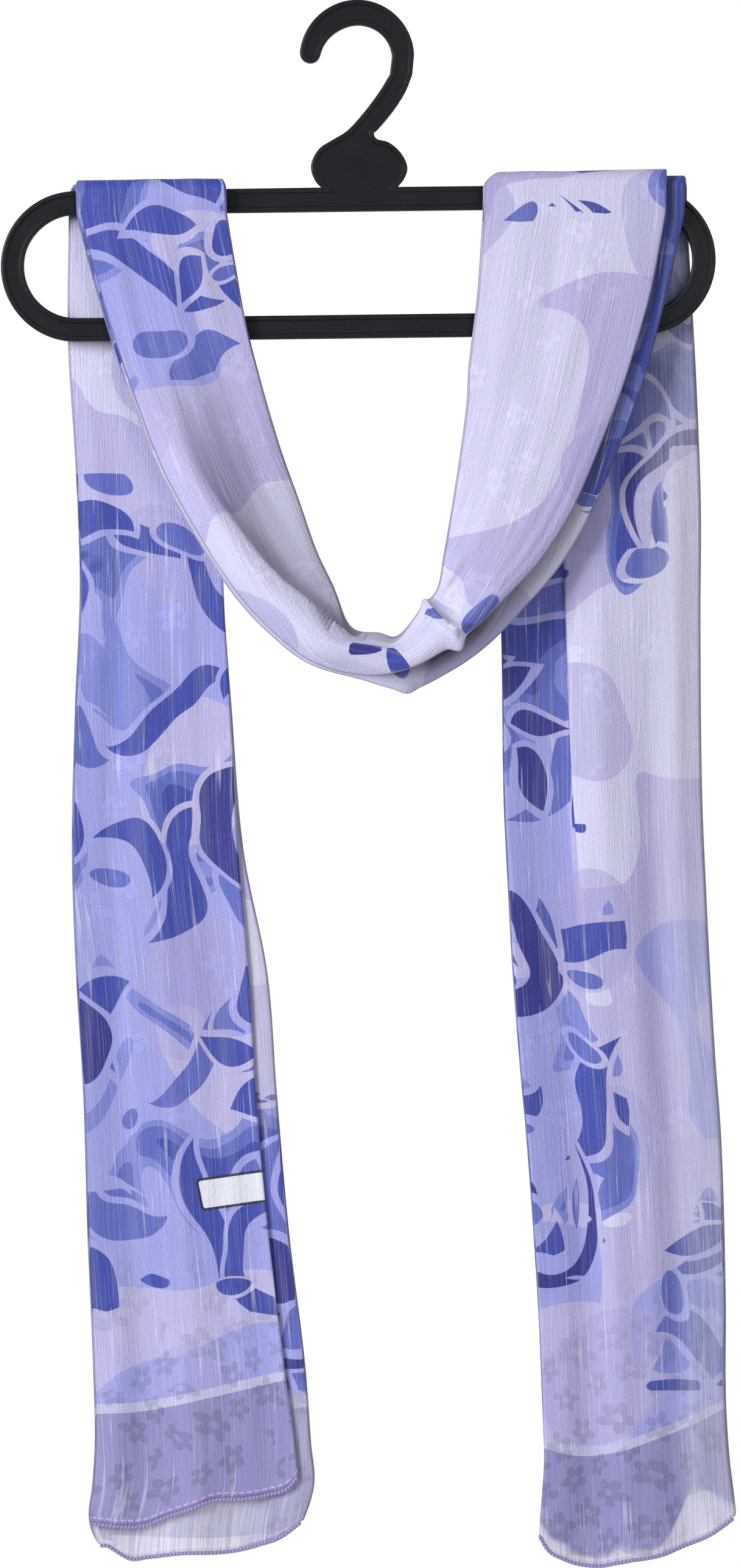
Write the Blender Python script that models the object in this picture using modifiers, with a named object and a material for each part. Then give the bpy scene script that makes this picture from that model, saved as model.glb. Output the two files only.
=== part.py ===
"""Jacquard scarf hung over a flat plastic scarf hanger.

The scarf is one long rectangle of sheer cloth, folded lengthwise into a ribbon of three layers.
It hangs behind the hanger on the left, goes over the top bar, dips in front as a deep loop,
goes back over the bar and hangs behind the hanger on the right.
Each stretch that shows is a node, and the rolled hems are nodes of their own.

Tables are in millimetres and the model is in metres. The origin is the seat of the hook, +X is to
the right, -Y faces the viewer and +Z is up.
"""

import math
from collections import namedtuple

import bmesh
import bpy
from mathutils import Matrix, Vector

MM = 0.001
OBJECT_NAME = "jacquard_scarf"

# ---- hanger ------------------------------------------------------------------------------------
THICKNESS = 7.0
EDGE_ROUND = 1.2
RIM = 2.0
WEB_RECESS = 0.9
LOOP_CENTRE_X, LOOP_CENTRE_Z = -0.2, -107.5
LOOP_HALF_WIDTH = 161.3
LOOP_RADIUS = 33.9
BAND = 10.5
HANGER_TILT = math.radians(0.69)
ARC_STEPS = 12

HOOK_CENTRE_Z = -15.4
HookArc = namedtuple("HookArc", "angle inner outer")
HOOK_ARC = (
    HookArc(172, 17.2, 26.8),
    HookArc(130, 15.8, 26.8),
    HookArc(90, 15.4, 26.7),
    HookArc(45, 15.2, 25.8),
    HookArc(0, 15.0, 25.0),
)
HOOK_STEP = 12
TIP_STEPS = 5

# The neck and the paddle, each side from the hook down to the top bar: x, z.
NECK_LEFT = (
    (14.0, -22.5), (9.2, -30.4), (2.1, -39.9), (-5.0, -47.7), (-11.3, -51.7), (-17.6, -55.7),
    (-21.0, -61.2), (-21.4, -65.9), (-19.3, -70.7), (-16.6, -73.5),
)
NECK_RIGHT = (
    (24.2, -22.5), (21.1, -30.4), (15.5, -39.1), (9.2, -46.6), (6.9, -49.0), (8.4, -51.7),
    (13.2, -52.9), (17.9, -56.5), (21.1, -61.2), (22.0, -65.6), (20.3, -69.9), (17.5, -73.2),
)

# ---- cloth -------------------------------------------------------------------------------------
WALL = 1.1
SEAM_GAP = 0.3
BAR_CLEARANCE = 0.35
PITCH = 1.9
SEAM_Z = -85.4
LAYER_STEPS = 8
FOLD_STEPS = 4
BACK_LAYER_IN = 3.0

# The loop in front of the hanger, from the left shoulder down and up to the right one. The outer
# edge is the lower one. The cloth is cupped: cup is how far its crown stands out from its edges,
# and roll how far its lower half curls over in front of that. front_in is how far the outer
# layer's edge lies in from the ribbon's edge, and pitch the spacing of the layers.
Swag = namedtuple("Swag", "outer_x outer_z inner_x inner_z cup roll front_in pitch")
SWAG = (
    Swag(-127.3, -85.4, -59.4, -85.4, 0.6, 0.0, 1.5, 1.9),
    Swag(-121.3, -109.6, -56.1, -105.5, 1.0, 0.3, 1.5, 1.9),
    Swag(-111.7, -142.6, -51.2, -133.0, 1.4, 0.9, 1.5, 1.9),
    Swag(-101.5, -172.3, -44.3, -160.5, 1.8, 2.0, 1.5, 1.9),
    Swag(-89.9, -201.7, -35.5, -190.7, 2.4, 3.4, 1.5, 2.0),
    Swag(-74.0, -230.6, -26.7, -215.5, 3.2, 4.4, 1.5, 2.0),
    Swag(-55.8, -258.1, -19.0, -237.5, 4.4, 3.6, 1.5, 2.1),
    Swag(-38.8, -276.0, -11.3, -253.1, 6.0, 2.2, 1.5, 2.2),
    Swag(-21.7, -288.3, -3.0, -271.8, 7.2, 1.0, 1.5, 2.2),
    Swag(0.3, -294.7, 9.1, -274.9, 7.6, 0.6, 1.5, 2.2),
    Swag(21.7, -299.6, 18.2, -276.2, 7.6, 0.6, 1.5, 2.2),
    Swag(40.2, -291.9, 30.0, -262.8, 7.4, 0.8, 2.5, 2.2),
    Swag(58.0, -279.5, 36.3, -254.8, 6.6, 1.2, 4.0, 2.2),
    Swag(76.2, -261.1, 39.0, -239.4, 5.6, 1.8, 6.0, 2.2),
    Swag(91.3, -243.2, 42.0, -221.0, 4.6, 2.2, 7.0, 2.2),
    Swag(105.3, -219.0, 45.8, -195.4, 3.8, 2.2, 7.0, 2.2),
    Swag(119.1, -186.3, 48.8, -171.5, 3.2, 1.8, 7.0, 2.2),
    Swag(128.4, -161.0, 49.8, -153.0, 2.6, 1.2, 7.5, 2.3),
    Swag(137.8, -126.1, 53.4, -123.3, 2.0, 0.6, 7.0, 2.4),
    Swag(144.0, -99.0, 55.2, -96.0, 1.0, 0.2, 7.5, 2.6),
    Swag(147.0, -85.4, 55.8, -85.4, 0.6, 0.0, 8.0, 2.7),
)
ROLL_SHARE = 0.58
LEFT_LIMB_END = 7.0
LOOP_END = 13.0

# The tails behind the hanger: the outer edge, and the inner edges of the layer nearest the hanger
# and of the ones behind it.
Tail = namedtuple("Tail", "z outer front_inner back_inner")
LEFT_TAIL = (
    Tail(-85.4, -131.2, -59.7, -60.7),
    Tail(-142.9, -131.5, -59.4, -60.4),
    Tail(-197.6, -128.2, -60.2, -61.2),
    Tail(-252.6, -126.2, -60.2, -61.2),
    Tail(-309.8, -128.4, -56.9, -57.4),
    Tail(-373.6, -129.7, -53.4, -52.0),
    Tail(-428.6, -127.9, -48.7, -41.3),
    Tail(-483.6, -124.6, -45.4, -37.0),
    Tail(-546.8, -122.7, -39.6, -31.4),
    Tail(-606.0, -120.2, -32.5, -24.2),
    Tail(-641.4, -119.4, -27.8, -21.5),
    Tail(-659.6, -120.5, -26.0, -20.1),
    Tail(-676.1, -122.0, -25.0, -25.0),
    Tail(-694.0, -115.0, -25.0, -35.0),
)
RIGHT_TAIL = (
    Tail(-85.4, 148.5, 56.1, 57.1),
    Tail(-131.0, 151.2, 56.7, 57.7),
    Tail(-170.6, 153.2, 58.0, 59.0),
    Tail(-217.9, 154.8, 60.2, 61.2),
    Tail(-271.0, 154.6, 63.3, 64.3),
    Tail(-349.4, 155.4, 64.6, 65.6),
    Tail(-386.2, 156.9, 66.3, 67.3),
    Tail(-423.1, 158.7, 68.3, 69.3),
    Tail(-465.4, 161.2, 71.5, 72.5),
    Tail(-502.3, 163.9, 74.8, 75.8),
    Tail(-576.0, 166.0, 79.8, 81.0),
    Tail(-621.1, 166.1, 81.7, 83.0),
    Tail(-648.6, 167.8, 82.2, 84.0),
    Tail(-666.2, 170.0, 81.1, 84.0),
    Tail(-682.1, 171.6, 80.0, 84.0),
    Tail(-698.0, 171.6, 80.0, 84.0),
)

# Where each layer ends, the layer nearest the hanger first: x, z along the hem.
LEFT_HEMS = (
    ((-122.7, -676.9), (-99.0, -678.3), (-87.2, -674.2), (-75.1, -670.0), (-65.7, -666.5),
     (-51.4, -665.9), (-39.6, -664.0), (-30.3, -661.0), (-25.0, -655.7)),
    ((-118.0, -687.0), (-108.4, -693.1), (-99.0, -692.6), (-81.1, -690.7), (-51.4, -689.6),
     (-39.6, -686.5), (-31.4, -683.0), (-25.0, -676.0)),
    ((-118.0, -683.0), (-60.0, -684.0), (-35.0, -681.0), (-28.9, -678.8), (-21.7, -668.7)),
)
RIGHT_HEMS = (
    ((80.0, -682.1), (83.3, -688.7), (89.1, -692.9), (95.7, -695.6), (106.7, -696.4),
     (119.1, -695.1), (131.7, -693.7), (144.1, -691.2), (152.6, -687.1), (160.9, -683.0),
     (167.5, -678.0), (171.6, -674.4)),
    ((80.0, -676.0), (110.0, -688.0), (140.0, -684.0), (147.0, -664.0), (158.0, -662.0),
     (171.6, -668.0)),
    ((80.0, -668.0), (120.0, -674.0), (171.6, -660.0)),
)
LEFT_TAIL_ROWS = 16
RIGHT_TAIL_ROWS = 18

# Soft lengthwise waves of the tails and the right tail's pleat, where a strip lies further back.
WAVE_DEPTH = 1.8
WAVE_COUNT = 2.0
WAVE_START_Z, WAVE_FULL_Z = -150.0, -420.0
PLEAT_DEPTH = 2.2
PLEAT_AT = 0.64
PLEAT_WIDTH = 0.14
PLEAT_FADE_START_Z, PLEAT_FADE_END_Z = -355.0, -400.0

HEM_RADIUS = 0.9
HEM_TRIM = 0.3
HEM_DROP = 0.7

# Colours and finish of the materials: red, green, blue, roughness.
PLASTIC = (0.017, 0.020, 0.025, 0.42)
CLOTH_BLUE = (0.160, 0.185, 0.560, 0.60)
CLOTH_LILAC = (0.560, 0.540, 0.800, 0.58)
CLOTH_PALE = (0.690, 0.680, 0.860, 0.56)
HEM_THREAD = (0.330, 0.270, 0.560, 0.65)


# ---- small helpers -----------------------------------------------------------------------------
def lerp(start, end, share):
    return start + (end - start) * share


def smoothstep(low, high, value):
    share = min(1.0, max(0.0, (value - low) / (high - low)))
    return share * share * (3.0 - 2.0 * share)


def catmull(p0, p1, p2, p3, t):
    """One coordinate of a Catmull-Rom curve between p1 and p2."""
    return 0.5 * (2 * p1 + (p2 - p0) * t + (2 * p0 - 5 * p1 + 4 * p2 - p3) * t * t
                  + (3 * p1 - p0 - 3 * p2 + p3) * t ** 3)


def smooth_row(rows, place):
    """The row at a fractional place in a table, on a smooth curve through its rows."""
    last = len(rows) - 1
    index = min(max(int(place), 0), last - 1)
    around = [rows[min(max(index + step, 0), last)] for step in (-1, 0, 1, 2)]
    return type(rows[0])(*(catmull(*column, place - index) for column in zip(*around)))


def between(points, x):
    """The second value of a table of pairs, at x, on straight runs, level past its ends."""
    points = sorted(points)
    if x <= points[0][0]:
        return points[0][1]
    for (x0, y0), (x1, y1) in zip(points, points[1:]):
        if x <= x1:
            return lerp(y0, y1, (x - x0) / (x1 - x0))
    return points[-1][1]


def arc(centre_x, centre_z, radius, start, end, steps):
    """Points on an arc, its angles in degrees."""
    angles = [math.radians(lerp(start, end, i / steps)) for i in range(steps + 1)]
    return [(centre_x + radius * math.cos(a), centre_z + radius * math.sin(a)) for a in angles]


def material(name, look):
    made = bpy.data.materials.new(name)
    made.use_nodes = True
    shader = made.node_tree.nodes["Principled BSDF"]
    shader.inputs["Base Color"].default_value = (*look[:3], 1.0)
    shader.inputs["Roughness"].default_value = look[3]
    shader.inputs["Metallic"].default_value = 0.0
    made.diffuse_color = (*look[:3], 1.0)
    return made


def collection(name):
    made = bpy.data.collections.new(name)
    bpy.context.scene.collection.children.link(made)
    return made


# ---- hanger ------------------------------------------------------------------------------------
def tilted(points):
    """Turns the loop's points about its centre, because the loaded hanger hangs a little askew."""
    cos, sin = math.cos(HANGER_TILT), math.sin(HANGER_TILT)
    turned = []
    for x, z in points:
        dx, dz = x - LOOP_CENTRE_X, z - LOOP_CENTRE_Z
        turned.append((LOOP_CENTRE_X + dx * cos - dz * sin, LOOP_CENTRE_Z + dx * sin + dz * cos))
    return turned


def bar_top(x):
    """Height of the top bar's upper edge."""
    return LOOP_CENTRE_Z + LOOP_RADIUS + math.tan(HANGER_TILT) * (x - LOOP_CENTRE_X)


def half_loop(side, radius, first, last):
    """One round end of the hanger's loop."""
    centre_x = LOOP_CENTRE_X + side * (LOOP_HALF_WIDTH - LOOP_RADIUS)
    return arc(centre_x, LOOP_CENTRE_Z, radius, first, last, ARC_STEPS)


def hook_side(field):
    """Points on the hook's inner or outer side, from its tip over the crown to the right."""
    angles = range(HOOK_ARC[0].angle, HOOK_ARC[-1].angle, -HOOK_STEP)
    rows = [(row.angle, getattr(row, field)) for row in HOOK_ARC]
    return [arc(0.0, HOOK_CENTRE_Z, between(rows, a), a, a, 1)[0] for a in angles]


def hook_tip():
    """The rounded end of the hook, from its outer side to its inner one."""
    first = HOOK_ARC[0]
    outer = arc(0.0, HOOK_CENTRE_Z, first.outer, first.angle, first.angle, 1)[0]
    inner = arc(0.0, HOOK_CENTRE_Z, first.inner, first.angle, first.angle, 1)[0]
    middle = ((outer[0] + inner[0]) / 2, (outer[1] + inner[1]) / 2)
    radius = math.dist(outer, inner) / 2
    start = math.degrees(math.atan2(outer[1] - middle[1], outer[0] - middle[0]))
    return arc(*middle, radius, start % 360, start % 360 + 180, TIP_STEPS)[1:-1]


def hanger_outline():
    """The outer edge of hook, paddle and loop as one closed line, clockwise from the paddle."""
    line = list(reversed(NECK_LEFT))
    line += list(reversed(hook_side("inner")))
    line += list(reversed(hook_tip()))
    line += hook_side("outer")
    line += list(NECK_RIGHT)
    line += tilted(half_loop(1, LOOP_RADIUS, 90, -90))
    line += tilted(half_loop(-1, LOOP_RADIUS, 270, 90))
    return line


def window_outline():
    """The loop's inner edge, anticlockwise."""
    radius = LOOP_RADIUS - BAND
    return tilted(half_loop(1, radius, -90, 90) + half_loop(-1, radius, 90, 270))


def grown(line, distance):
    """A closed line moved sideways: to its left for a positive distance."""
    moved = []
    for before, here, after in zip([line[-1]] + line[:-1], line, line[1:] + line[:1]):
        incoming = Vector((here[0] - before[0], here[1] - before[1])).normalized()
        outgoing = Vector((after[0] - here[0], after[1] - here[1])).normalized()
        tangent = (incoming + outgoing).normalized()
        stretch = distance / max(0.5, tangent.dot(incoming))
        moved.append((here[0] - tangent.y * stretch, here[1] + tangent.x * stretch))
    return moved


def flat_plate(name, lines, thickness, rounding, y, group):
    """A plate standing in the XZ plane between closed lines, as a mesh in its place."""
    data = bpy.data.curves.new(name, "CURVE")
    data.dimensions = "2D"
    data.fill_mode = "BOTH"
    data.extrude = (thickness / 2 - rounding) * MM
    data.bevel_depth = rounding * MM
    data.bevel_resolution = 1
    data.offset = -rounding * MM
    for line in lines:
        spline = data.splines.new("POLY")
        spline.points.add(len(line) - 1)
        for point, (x, z) in zip(spline.points, line):
            point.co = (x * MM, z * MM, 0.0, 1.0)
        spline.use_cyclic_u = True
    outline = bpy.data.objects.new(name + "_outline", data)
    group.objects.link(outline)
    outline.matrix_world = Matrix.Translation((0.0, y * MM, 0.0)) @ Matrix.Rotation(math.pi / 2, 4, "X")
    bpy.context.view_layer.update()
    evaluated = outline.evaluated_get(bpy.context.evaluated_depsgraph_get())
    mesh = bpy.data.meshes.new_from_object(evaluated)
    mesh.transform(outline.matrix_world)
    mesh.name = name
    bpy.data.objects.remove(outline)
    work = bmesh.new()
    work.from_mesh(mesh)
    bmesh.ops.remove_doubles(work, verts=work.verts, dist=0.000005)
    bmesh.ops.recalc_face_normals(work, faces=work.faces)
    work.to_mesh(mesh)
    work.free()
    plate = bpy.data.objects.new(name, mesh)
    group.objects.link(plate)
    return plate


def build_hanger(parts, cutters):
    """One moulding: hook, paddle and loop, with a raised rim round a recessed web on each face."""
    body = flat_plate("hanger", [hanger_outline(), window_outline()], THICKNESS, EDGE_ROUND, 0.0, parts)
    web = [grown(hanger_outline(), -RIM), grown(window_outline(), -RIM)]
    for label, side in (("front", -1), ("back", 1)):
        y = side * THICKNESS / 2
        cutter = flat_plate("web_" + label, web, 2 * WEB_RECESS, 0.0, y, cutters)
        cutter.hide_render = True
        cutter.display_type = "WIRE"
        cut = body.modifiers.new("web_" + label, "BOOLEAN")
        cut.operation = "DIFFERENCE"
        cut.object = cutter
    body.data.shade_smooth()
    body.data.set_sharp_from_angle(angle=math.radians(35))
    body.data.materials.append(material("hanger_plastic", PLASTIC))


# ---- the folded ribbon -------------------------------------------------------------------------
# One section across the ribbon: its outer and inner edge, the way its layers stack, the layers'
# spacing, how far the free edges lie in, and the stand-off of the surface at a share of its width.
Section = namedtuple("Section", "outer inner out pitch first_in last_in stand_off")
# One lengthwise line of the ribbon: which layer, its share of the width, how far round a fold.
Line = namedtuple("Line", "layer share beyond")


def ribbon_lines():
    """The ribbon's lines in order: outermost layer, fold, middle layer, fold, inmost layer."""
    def layer(number, backwards):
        shares = [i / LAYER_STEPS for i in range(LAYER_STEPS + 1)]
        return [Line(number, share, 0.0) for share in (reversed(shares) if backwards else shares)]

    def fold(upper, share, side):
        turns = [math.pi * i / FOLD_STEPS for i in range(1, FOLD_STEPS)]
        return [Line(upper - (1 - math.cos(t)) / 2, share, side * math.sin(t) / 2) for t in turns]

    return (layer(2, False) + fold(2, 1.0, 1) + layer(1, True) + fold(1, 0.0, -1)
            + layer(0, False))


def ribbon_point(section, line):
    """Where a line of the ribbon crosses a section, in metres."""
    across = section.inner - section.outer
    width = across.length
    along = across / width
    fold_in = (section.pitch + WALL) / 2
    first = (fold_in + section.first_in * max(0.0, line.layer - 1.0)) / width
    last = (fold_in + section.last_in * max(0.0, 1.0 - line.layer)) / width
    share = lerp(first, 1.0 - last, line.share)
    step = 0.01
    slope = (section.stand_off(share + step) - section.stand_off(share - step)) / (2 * step * width)
    tangent = (along + section.out * slope).normalized()
    normal = (section.out - along * slope).normalized()
    surface = section.outer + along * share * width + section.out * section.stand_off(share)
    layers = normal * line.layer * section.pitch + tangent * line.beyond * section.pitch
    return (surface + layers) * MM


def ribbon(name, section_at, row_count, look, parts):
    """A wall along the ribbon: section_at gives the section for a share of the length and a line."""
    lines = ribbon_lines()
    work = bmesh.new()
    bmesh.ops.create_grid(work, x_segments=row_count - 1, y_segments=len(lines) - 1, size=1.0)
    work.verts.ensure_lookup_table()
    for vert in work.verts:
        row = round((vert.co.x + 1) / 2 * (row_count - 1))
        line = lines[round((vert.co.y + 1) / 2 * (len(lines) - 1))]
        vert.co = ribbon_point(section_at(row / (row_count - 1), line), line)
    mesh = bpy.data.meshes.new(name)
    work.to_mesh(mesh)
    work.free()
    mesh.shade_smooth()
    mesh.materials.append(material(name + "_cloth", look))
    piece = bpy.data.objects.new(name, mesh)
    parts.objects.link(piece)
    wall = piece.modifiers.new("wall", "SOLIDIFY")
    wall.thickness = WALL * MM
    wall.offset = 0.0
    wall.use_even_offset = True
    return piece


INNER_FACE_Y = THICKNESS / 2 + BAR_CLEARANCE + WALL / 2


# ---- the loop in front -------------------------------------------------------------------------
def swag_stand_off(row, share):
    """The cupped cloth with its lower half rolled over."""
    turn = 2 * math.pi * min(1.0, max(0.0, share / ROLL_SHARE))
    return 4.0 * row.cup * share * (1.0 - share) + row.roll * (1.0 - math.cos(turn)) / 2


def swag_section(place):
    row = smooth_row(SWAG, place)
    y = -INNER_FACE_Y
    return Section(
        outer=Vector((row.outer_x, y, row.outer_z)),
        inner=Vector((row.inner_x, y, row.inner_z)),
        out=Vector((0.0, -1.0, 0.0)),
        pitch=row.pitch,
        first_in=row.front_in,
        last_in=BACK_LAYER_IN,
        stand_off=lambda share: swag_stand_off(row, share),
    )


def build_swag(parts):
    """The three stretches of the loop, with a seam gap between them."""
    def middle(place):
        row = smooth_row(SWAG, place)
        return Vector((row.outer_x + row.inner_x, row.outer_z + row.inner_z)) / 2

    def seam_share(place):
        """Half a seam gap, in rows of the table."""
        step = 0.1
        return SEAM_GAP * step / (middle(place + step) - middle(place)).length

    last = len(SWAG) - 1.0
    for name, start, end, rows, look in (
        ("left_limb", 0.0, LEFT_LIMB_END, 12, CLOTH_LILAC),
        ("loop_bottom", LEFT_LIMB_END, LOOP_END, 13, CLOTH_PALE),
        ("right_limb", LOOP_END, last, 12, CLOTH_PALE),
    ):
        low = start + (2 * seam_share(start) if start > 0 else 0.0)
        high = end - (2 * seam_share(end) if end < last else 0.0)
        ribbon(name, lambda share, line, low=low, high=high: swag_section(lerp(low, high, share)),
               rows, look, parts)


# ---- over the bar ------------------------------------------------------------------------------
def bar_path():
    """The way over the bar from front to back: y, height from the bar's top, direction out."""
    corner = EDGE_ROUND + BAR_CLEARANCE + WALL / 2
    flat = THICKNESS / 2 - EDGE_ROUND
    turns = [math.radians(30 * i) for i in range(4)]
    front = [(-flat - corner * math.cos(t), -EDGE_ROUND + corner * math.sin(t), t) for t in turns]
    path = [(y, rise, Vector((0.0, -math.cos(t), math.sin(t)))) for y, rise, t in front]
    return path + [(-y, rise, Vector((0.0, -out.y, out.z))) for y, rise, out in reversed(path)]


def shoulder_section(front, back, pitch, first_in, place):
    """A section of the wrap, from its seam in front to its seam behind."""
    path = bar_path()
    steps = len(path) + 1
    index = round(place * steps)
    outer_x = lerp(front.outer.x, back.outer.x, place)
    inner_x = lerp(front.inner.x, back.inner.x, place)
    if index in (0, steps):
        y, out = (path[0][0], path[0][2]) if index == 0 else (path[-1][0], path[-1][2])
        heights = [SEAM_Z + SEAM_GAP] * 2
    else:
        y, rise, out = path[index - 1]
        heights = [bar_top(outer_x) + rise, bar_top(inner_x) + rise]
    return Section(
        outer=Vector((outer_x, y, heights[0])),
        inner=Vector((inner_x, y, heights[1])),
        out=out,
        pitch=pitch,
        first_in=first_in,
        last_in=BACK_LAYER_IN,
        stand_off=lambda share: 0.0,
    )


def build_shoulder(name, front, back, pitch, first_in, look, parts):
    ribbon(name, lambda share, line: shoulder_section(front, back, pitch, first_in, share),
           len(bar_path()) + 2, look, parts)


# ---- the tails ---------------------------------------------------------------------------------
def tail_row(table, z):
    """The tail's edges at a height."""
    columns = [[(row.z, row[i]) for row in table] for i in range(1, len(Tail._fields))]
    return Tail(z, *(between(column, z) for column in columns))


def hem_height(hems, x, layer):
    """Height of the hem at x, between two layers in a fold."""
    lower = min(int(layer), len(hems) - 2)
    return lerp(between(hems[lower], x), between(hems[lower + 1], x), layer - lower)


def tail_section(table, pitch, stand_off, z):
    row = tail_row(table, z)
    direction = 1.0 if row.back_inner > row.outer else -1.0
    return Section(
        outer=Vector((row.outer, INNER_FACE_Y, z)),
        inner=Vector((row.back_inner, INNER_FACE_Y, z)),
        out=Vector((0.0, 1.0, 0.0)),
        pitch=pitch,
        first_in=BACK_LAYER_IN,
        last_in=(row.back_inner - row.front_inner) * direction,
        stand_off=lambda share: stand_off(share, z),
    )


def left_stand_off(share, z):
    rise = smoothstep(WAVE_START_Z, WAVE_FULL_Z, z)
    return WAVE_DEPTH * rise * (1.0 - math.cos(2 * math.pi * WAVE_COUNT * share)) / 2


def right_stand_off(share, z):
    """Waves, and the inner strip further back beside the pleat until that dies out."""
    fade = 1.0 - smoothstep(PLEAT_FADE_START_Z, PLEAT_FADE_END_Z, z)
    pleat = PLEAT_DEPTH * fade * smoothstep(PLEAT_AT - PLEAT_WIDTH / 2, PLEAT_AT + PLEAT_WIDTH / 2, share)
    return pleat + left_stand_off(share, z)


def tail_height(table, hems, line, share):
    """Height on a line of the tail, at a share of its way from the seam to that line's hem."""
    bottom = tail_row(table, hems[0][0][1])
    inner = bottom.front_inner if line.layer < 0.5 else bottom.back_inner
    hem = hem_height(hems, lerp(bottom.outer, inner, line.share), line.layer)
    return lerp(SEAM_Z, hem, share)


def build_tail(name, table, hems, pitch, stand_off, rows, look, parts):
    def section_at(share, line):
        z = tail_height(table, hems, line, share)
        return tail_section(table, pitch, stand_off, z)

    ribbon(name, section_at, rows, look, parts)


def build_hem(name, table, hems, pitch, stand_off, layer, parts):
    """The rolled edge under one layer of a tail."""
    data = bpy.data.curves.new(name, "CURVE")
    data.dimensions = "3D"
    data.bevel_depth = HEM_RADIUS * MM
    data.bevel_resolution = 1
    data.use_fill_caps = True
    drop = Vector((0.0, 0.0, -(HEM_RADIUS + HEM_DROP) * MM))
    places = []
    for i in range(LAYER_STEPS + 1):
        line = Line(layer, i / LAYER_STEPS, 0.0)
        z = tail_height(table, hems, line, 1.0)
        places.append(ribbon_point(tail_section(table, pitch, stand_off, z), line) + drop)
    places[0] = places[0].lerp(places[1], HEM_TRIM)
    places[-1] = places[-1].lerp(places[-2], HEM_TRIM)
    spline = data.splines.new("POLY")
    spline.points.add(LAYER_STEPS)
    for point, place in zip(spline.points, places):
        point.co = (*place, 1.0)
    data.materials.append(material(name + "_thread", HEM_THREAD))
    piece = bpy.data.objects.new(name, data)
    parts.objects.link(piece)


# ---- all ---------------------------------------------------------------------------------------
def main():
    for old in list(bpy.data.objects):
        bpy.data.objects.remove(old)
    parts = collection(OBJECT_NAME)
    cutters = collection("cutters")
    build_hanger(parts, cutters)

    left_tail = tail_section(LEFT_TAIL, PITCH, left_stand_off, SEAM_Z)
    right_pitch = SWAG[-1].pitch
    right_tail = tail_section(RIGHT_TAIL, right_pitch, right_stand_off, SEAM_Z)
    build_shoulder("left_shoulder", swag_section(0.0), left_tail, PITCH, 4.0, CLOTH_BLUE, parts)
    build_shoulder("right_shoulder", swag_section(len(SWAG) - 1.0), right_tail, right_pitch,
                   SWAG[-1].front_in, CLOTH_LILAC, parts)
    build_swag(parts)
    build_tail("left_tail", LEFT_TAIL, LEFT_HEMS, PITCH, left_stand_off, LEFT_TAIL_ROWS,
               CLOTH_BLUE, parts)
    build_tail("right_tail", RIGHT_TAIL, RIGHT_HEMS, right_pitch, right_stand_off, RIGHT_TAIL_ROWS,
               CLOTH_PALE, parts)
    build_hem("left_front_hem", LEFT_TAIL, LEFT_HEMS, PITCH, left_stand_off, 0, parts)
    build_hem("left_under_hem", LEFT_TAIL, LEFT_HEMS, PITCH, left_stand_off, 1, parts)
    build_hem("right_hem", RIGHT_TAIL, RIGHT_HEMS, right_pitch, right_stand_off, 0, parts)


main()
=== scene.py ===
"""Looks of a jacquard scarf that hangs over a flat plastic scarf hanger.

The scarf is a long sheet, folded lengthwise into three layers, and it is modelled in three pieces
that meet behind the hanger's top bar: the left tail, the loop in front with both shoulders, and the
right tail. The hanger and the hems are finer versions of their solids.

Tables are in millimetres, as in the solids' own source, and meshes are in metres.
"""

import math
from bisect import bisect
from collections import namedtuple
from itertools import accumulate

import bmesh
import bpy
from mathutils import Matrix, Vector


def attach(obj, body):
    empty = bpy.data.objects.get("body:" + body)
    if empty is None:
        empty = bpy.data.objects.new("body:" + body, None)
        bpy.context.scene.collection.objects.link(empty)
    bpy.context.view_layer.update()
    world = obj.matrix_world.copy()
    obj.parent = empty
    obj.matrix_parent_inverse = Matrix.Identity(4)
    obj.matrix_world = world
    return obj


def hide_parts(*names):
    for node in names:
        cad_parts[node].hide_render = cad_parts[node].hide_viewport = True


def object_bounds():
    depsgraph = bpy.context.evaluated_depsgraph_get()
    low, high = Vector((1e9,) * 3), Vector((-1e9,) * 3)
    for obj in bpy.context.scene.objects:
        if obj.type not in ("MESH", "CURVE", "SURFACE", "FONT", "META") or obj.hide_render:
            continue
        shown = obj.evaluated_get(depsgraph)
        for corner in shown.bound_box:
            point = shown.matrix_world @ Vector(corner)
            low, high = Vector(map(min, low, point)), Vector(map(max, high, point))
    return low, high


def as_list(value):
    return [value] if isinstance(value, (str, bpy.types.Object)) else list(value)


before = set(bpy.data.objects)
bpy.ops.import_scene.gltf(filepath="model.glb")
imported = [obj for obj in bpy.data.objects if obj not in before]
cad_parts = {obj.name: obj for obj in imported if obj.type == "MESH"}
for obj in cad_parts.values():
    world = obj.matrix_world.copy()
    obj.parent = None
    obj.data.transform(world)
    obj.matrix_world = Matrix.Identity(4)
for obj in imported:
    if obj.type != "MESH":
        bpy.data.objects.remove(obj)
CAD_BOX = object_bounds()

bl_info = {
    "name": "Hung Jacquard Scarf",
    "version": (1, 0, 0),
    "blender": (4, 5, 0),
    "location": "View3D > Sidebar > Scarf",
    "description": "Builds a folded jacquard scarf on a flat plastic hanger",
    "category": "Add Mesh",
}

MM = 0.001
# Points that are nearer than these are one point, in metres: across the mirror, elsewhere, in a hem.
MIRROR_MERGE, MERGE, HEM_MERGE = 0.00001, 0.000002, 0.000004

# ---- the hanger's sizes ------------------------------------------------------------------------
THICKNESS = 7.0
EDGE_ROUND, EDGE_STEPS = 0.8, 4
RIM = 1.9
WEB_RECESS = 0.9
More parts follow.
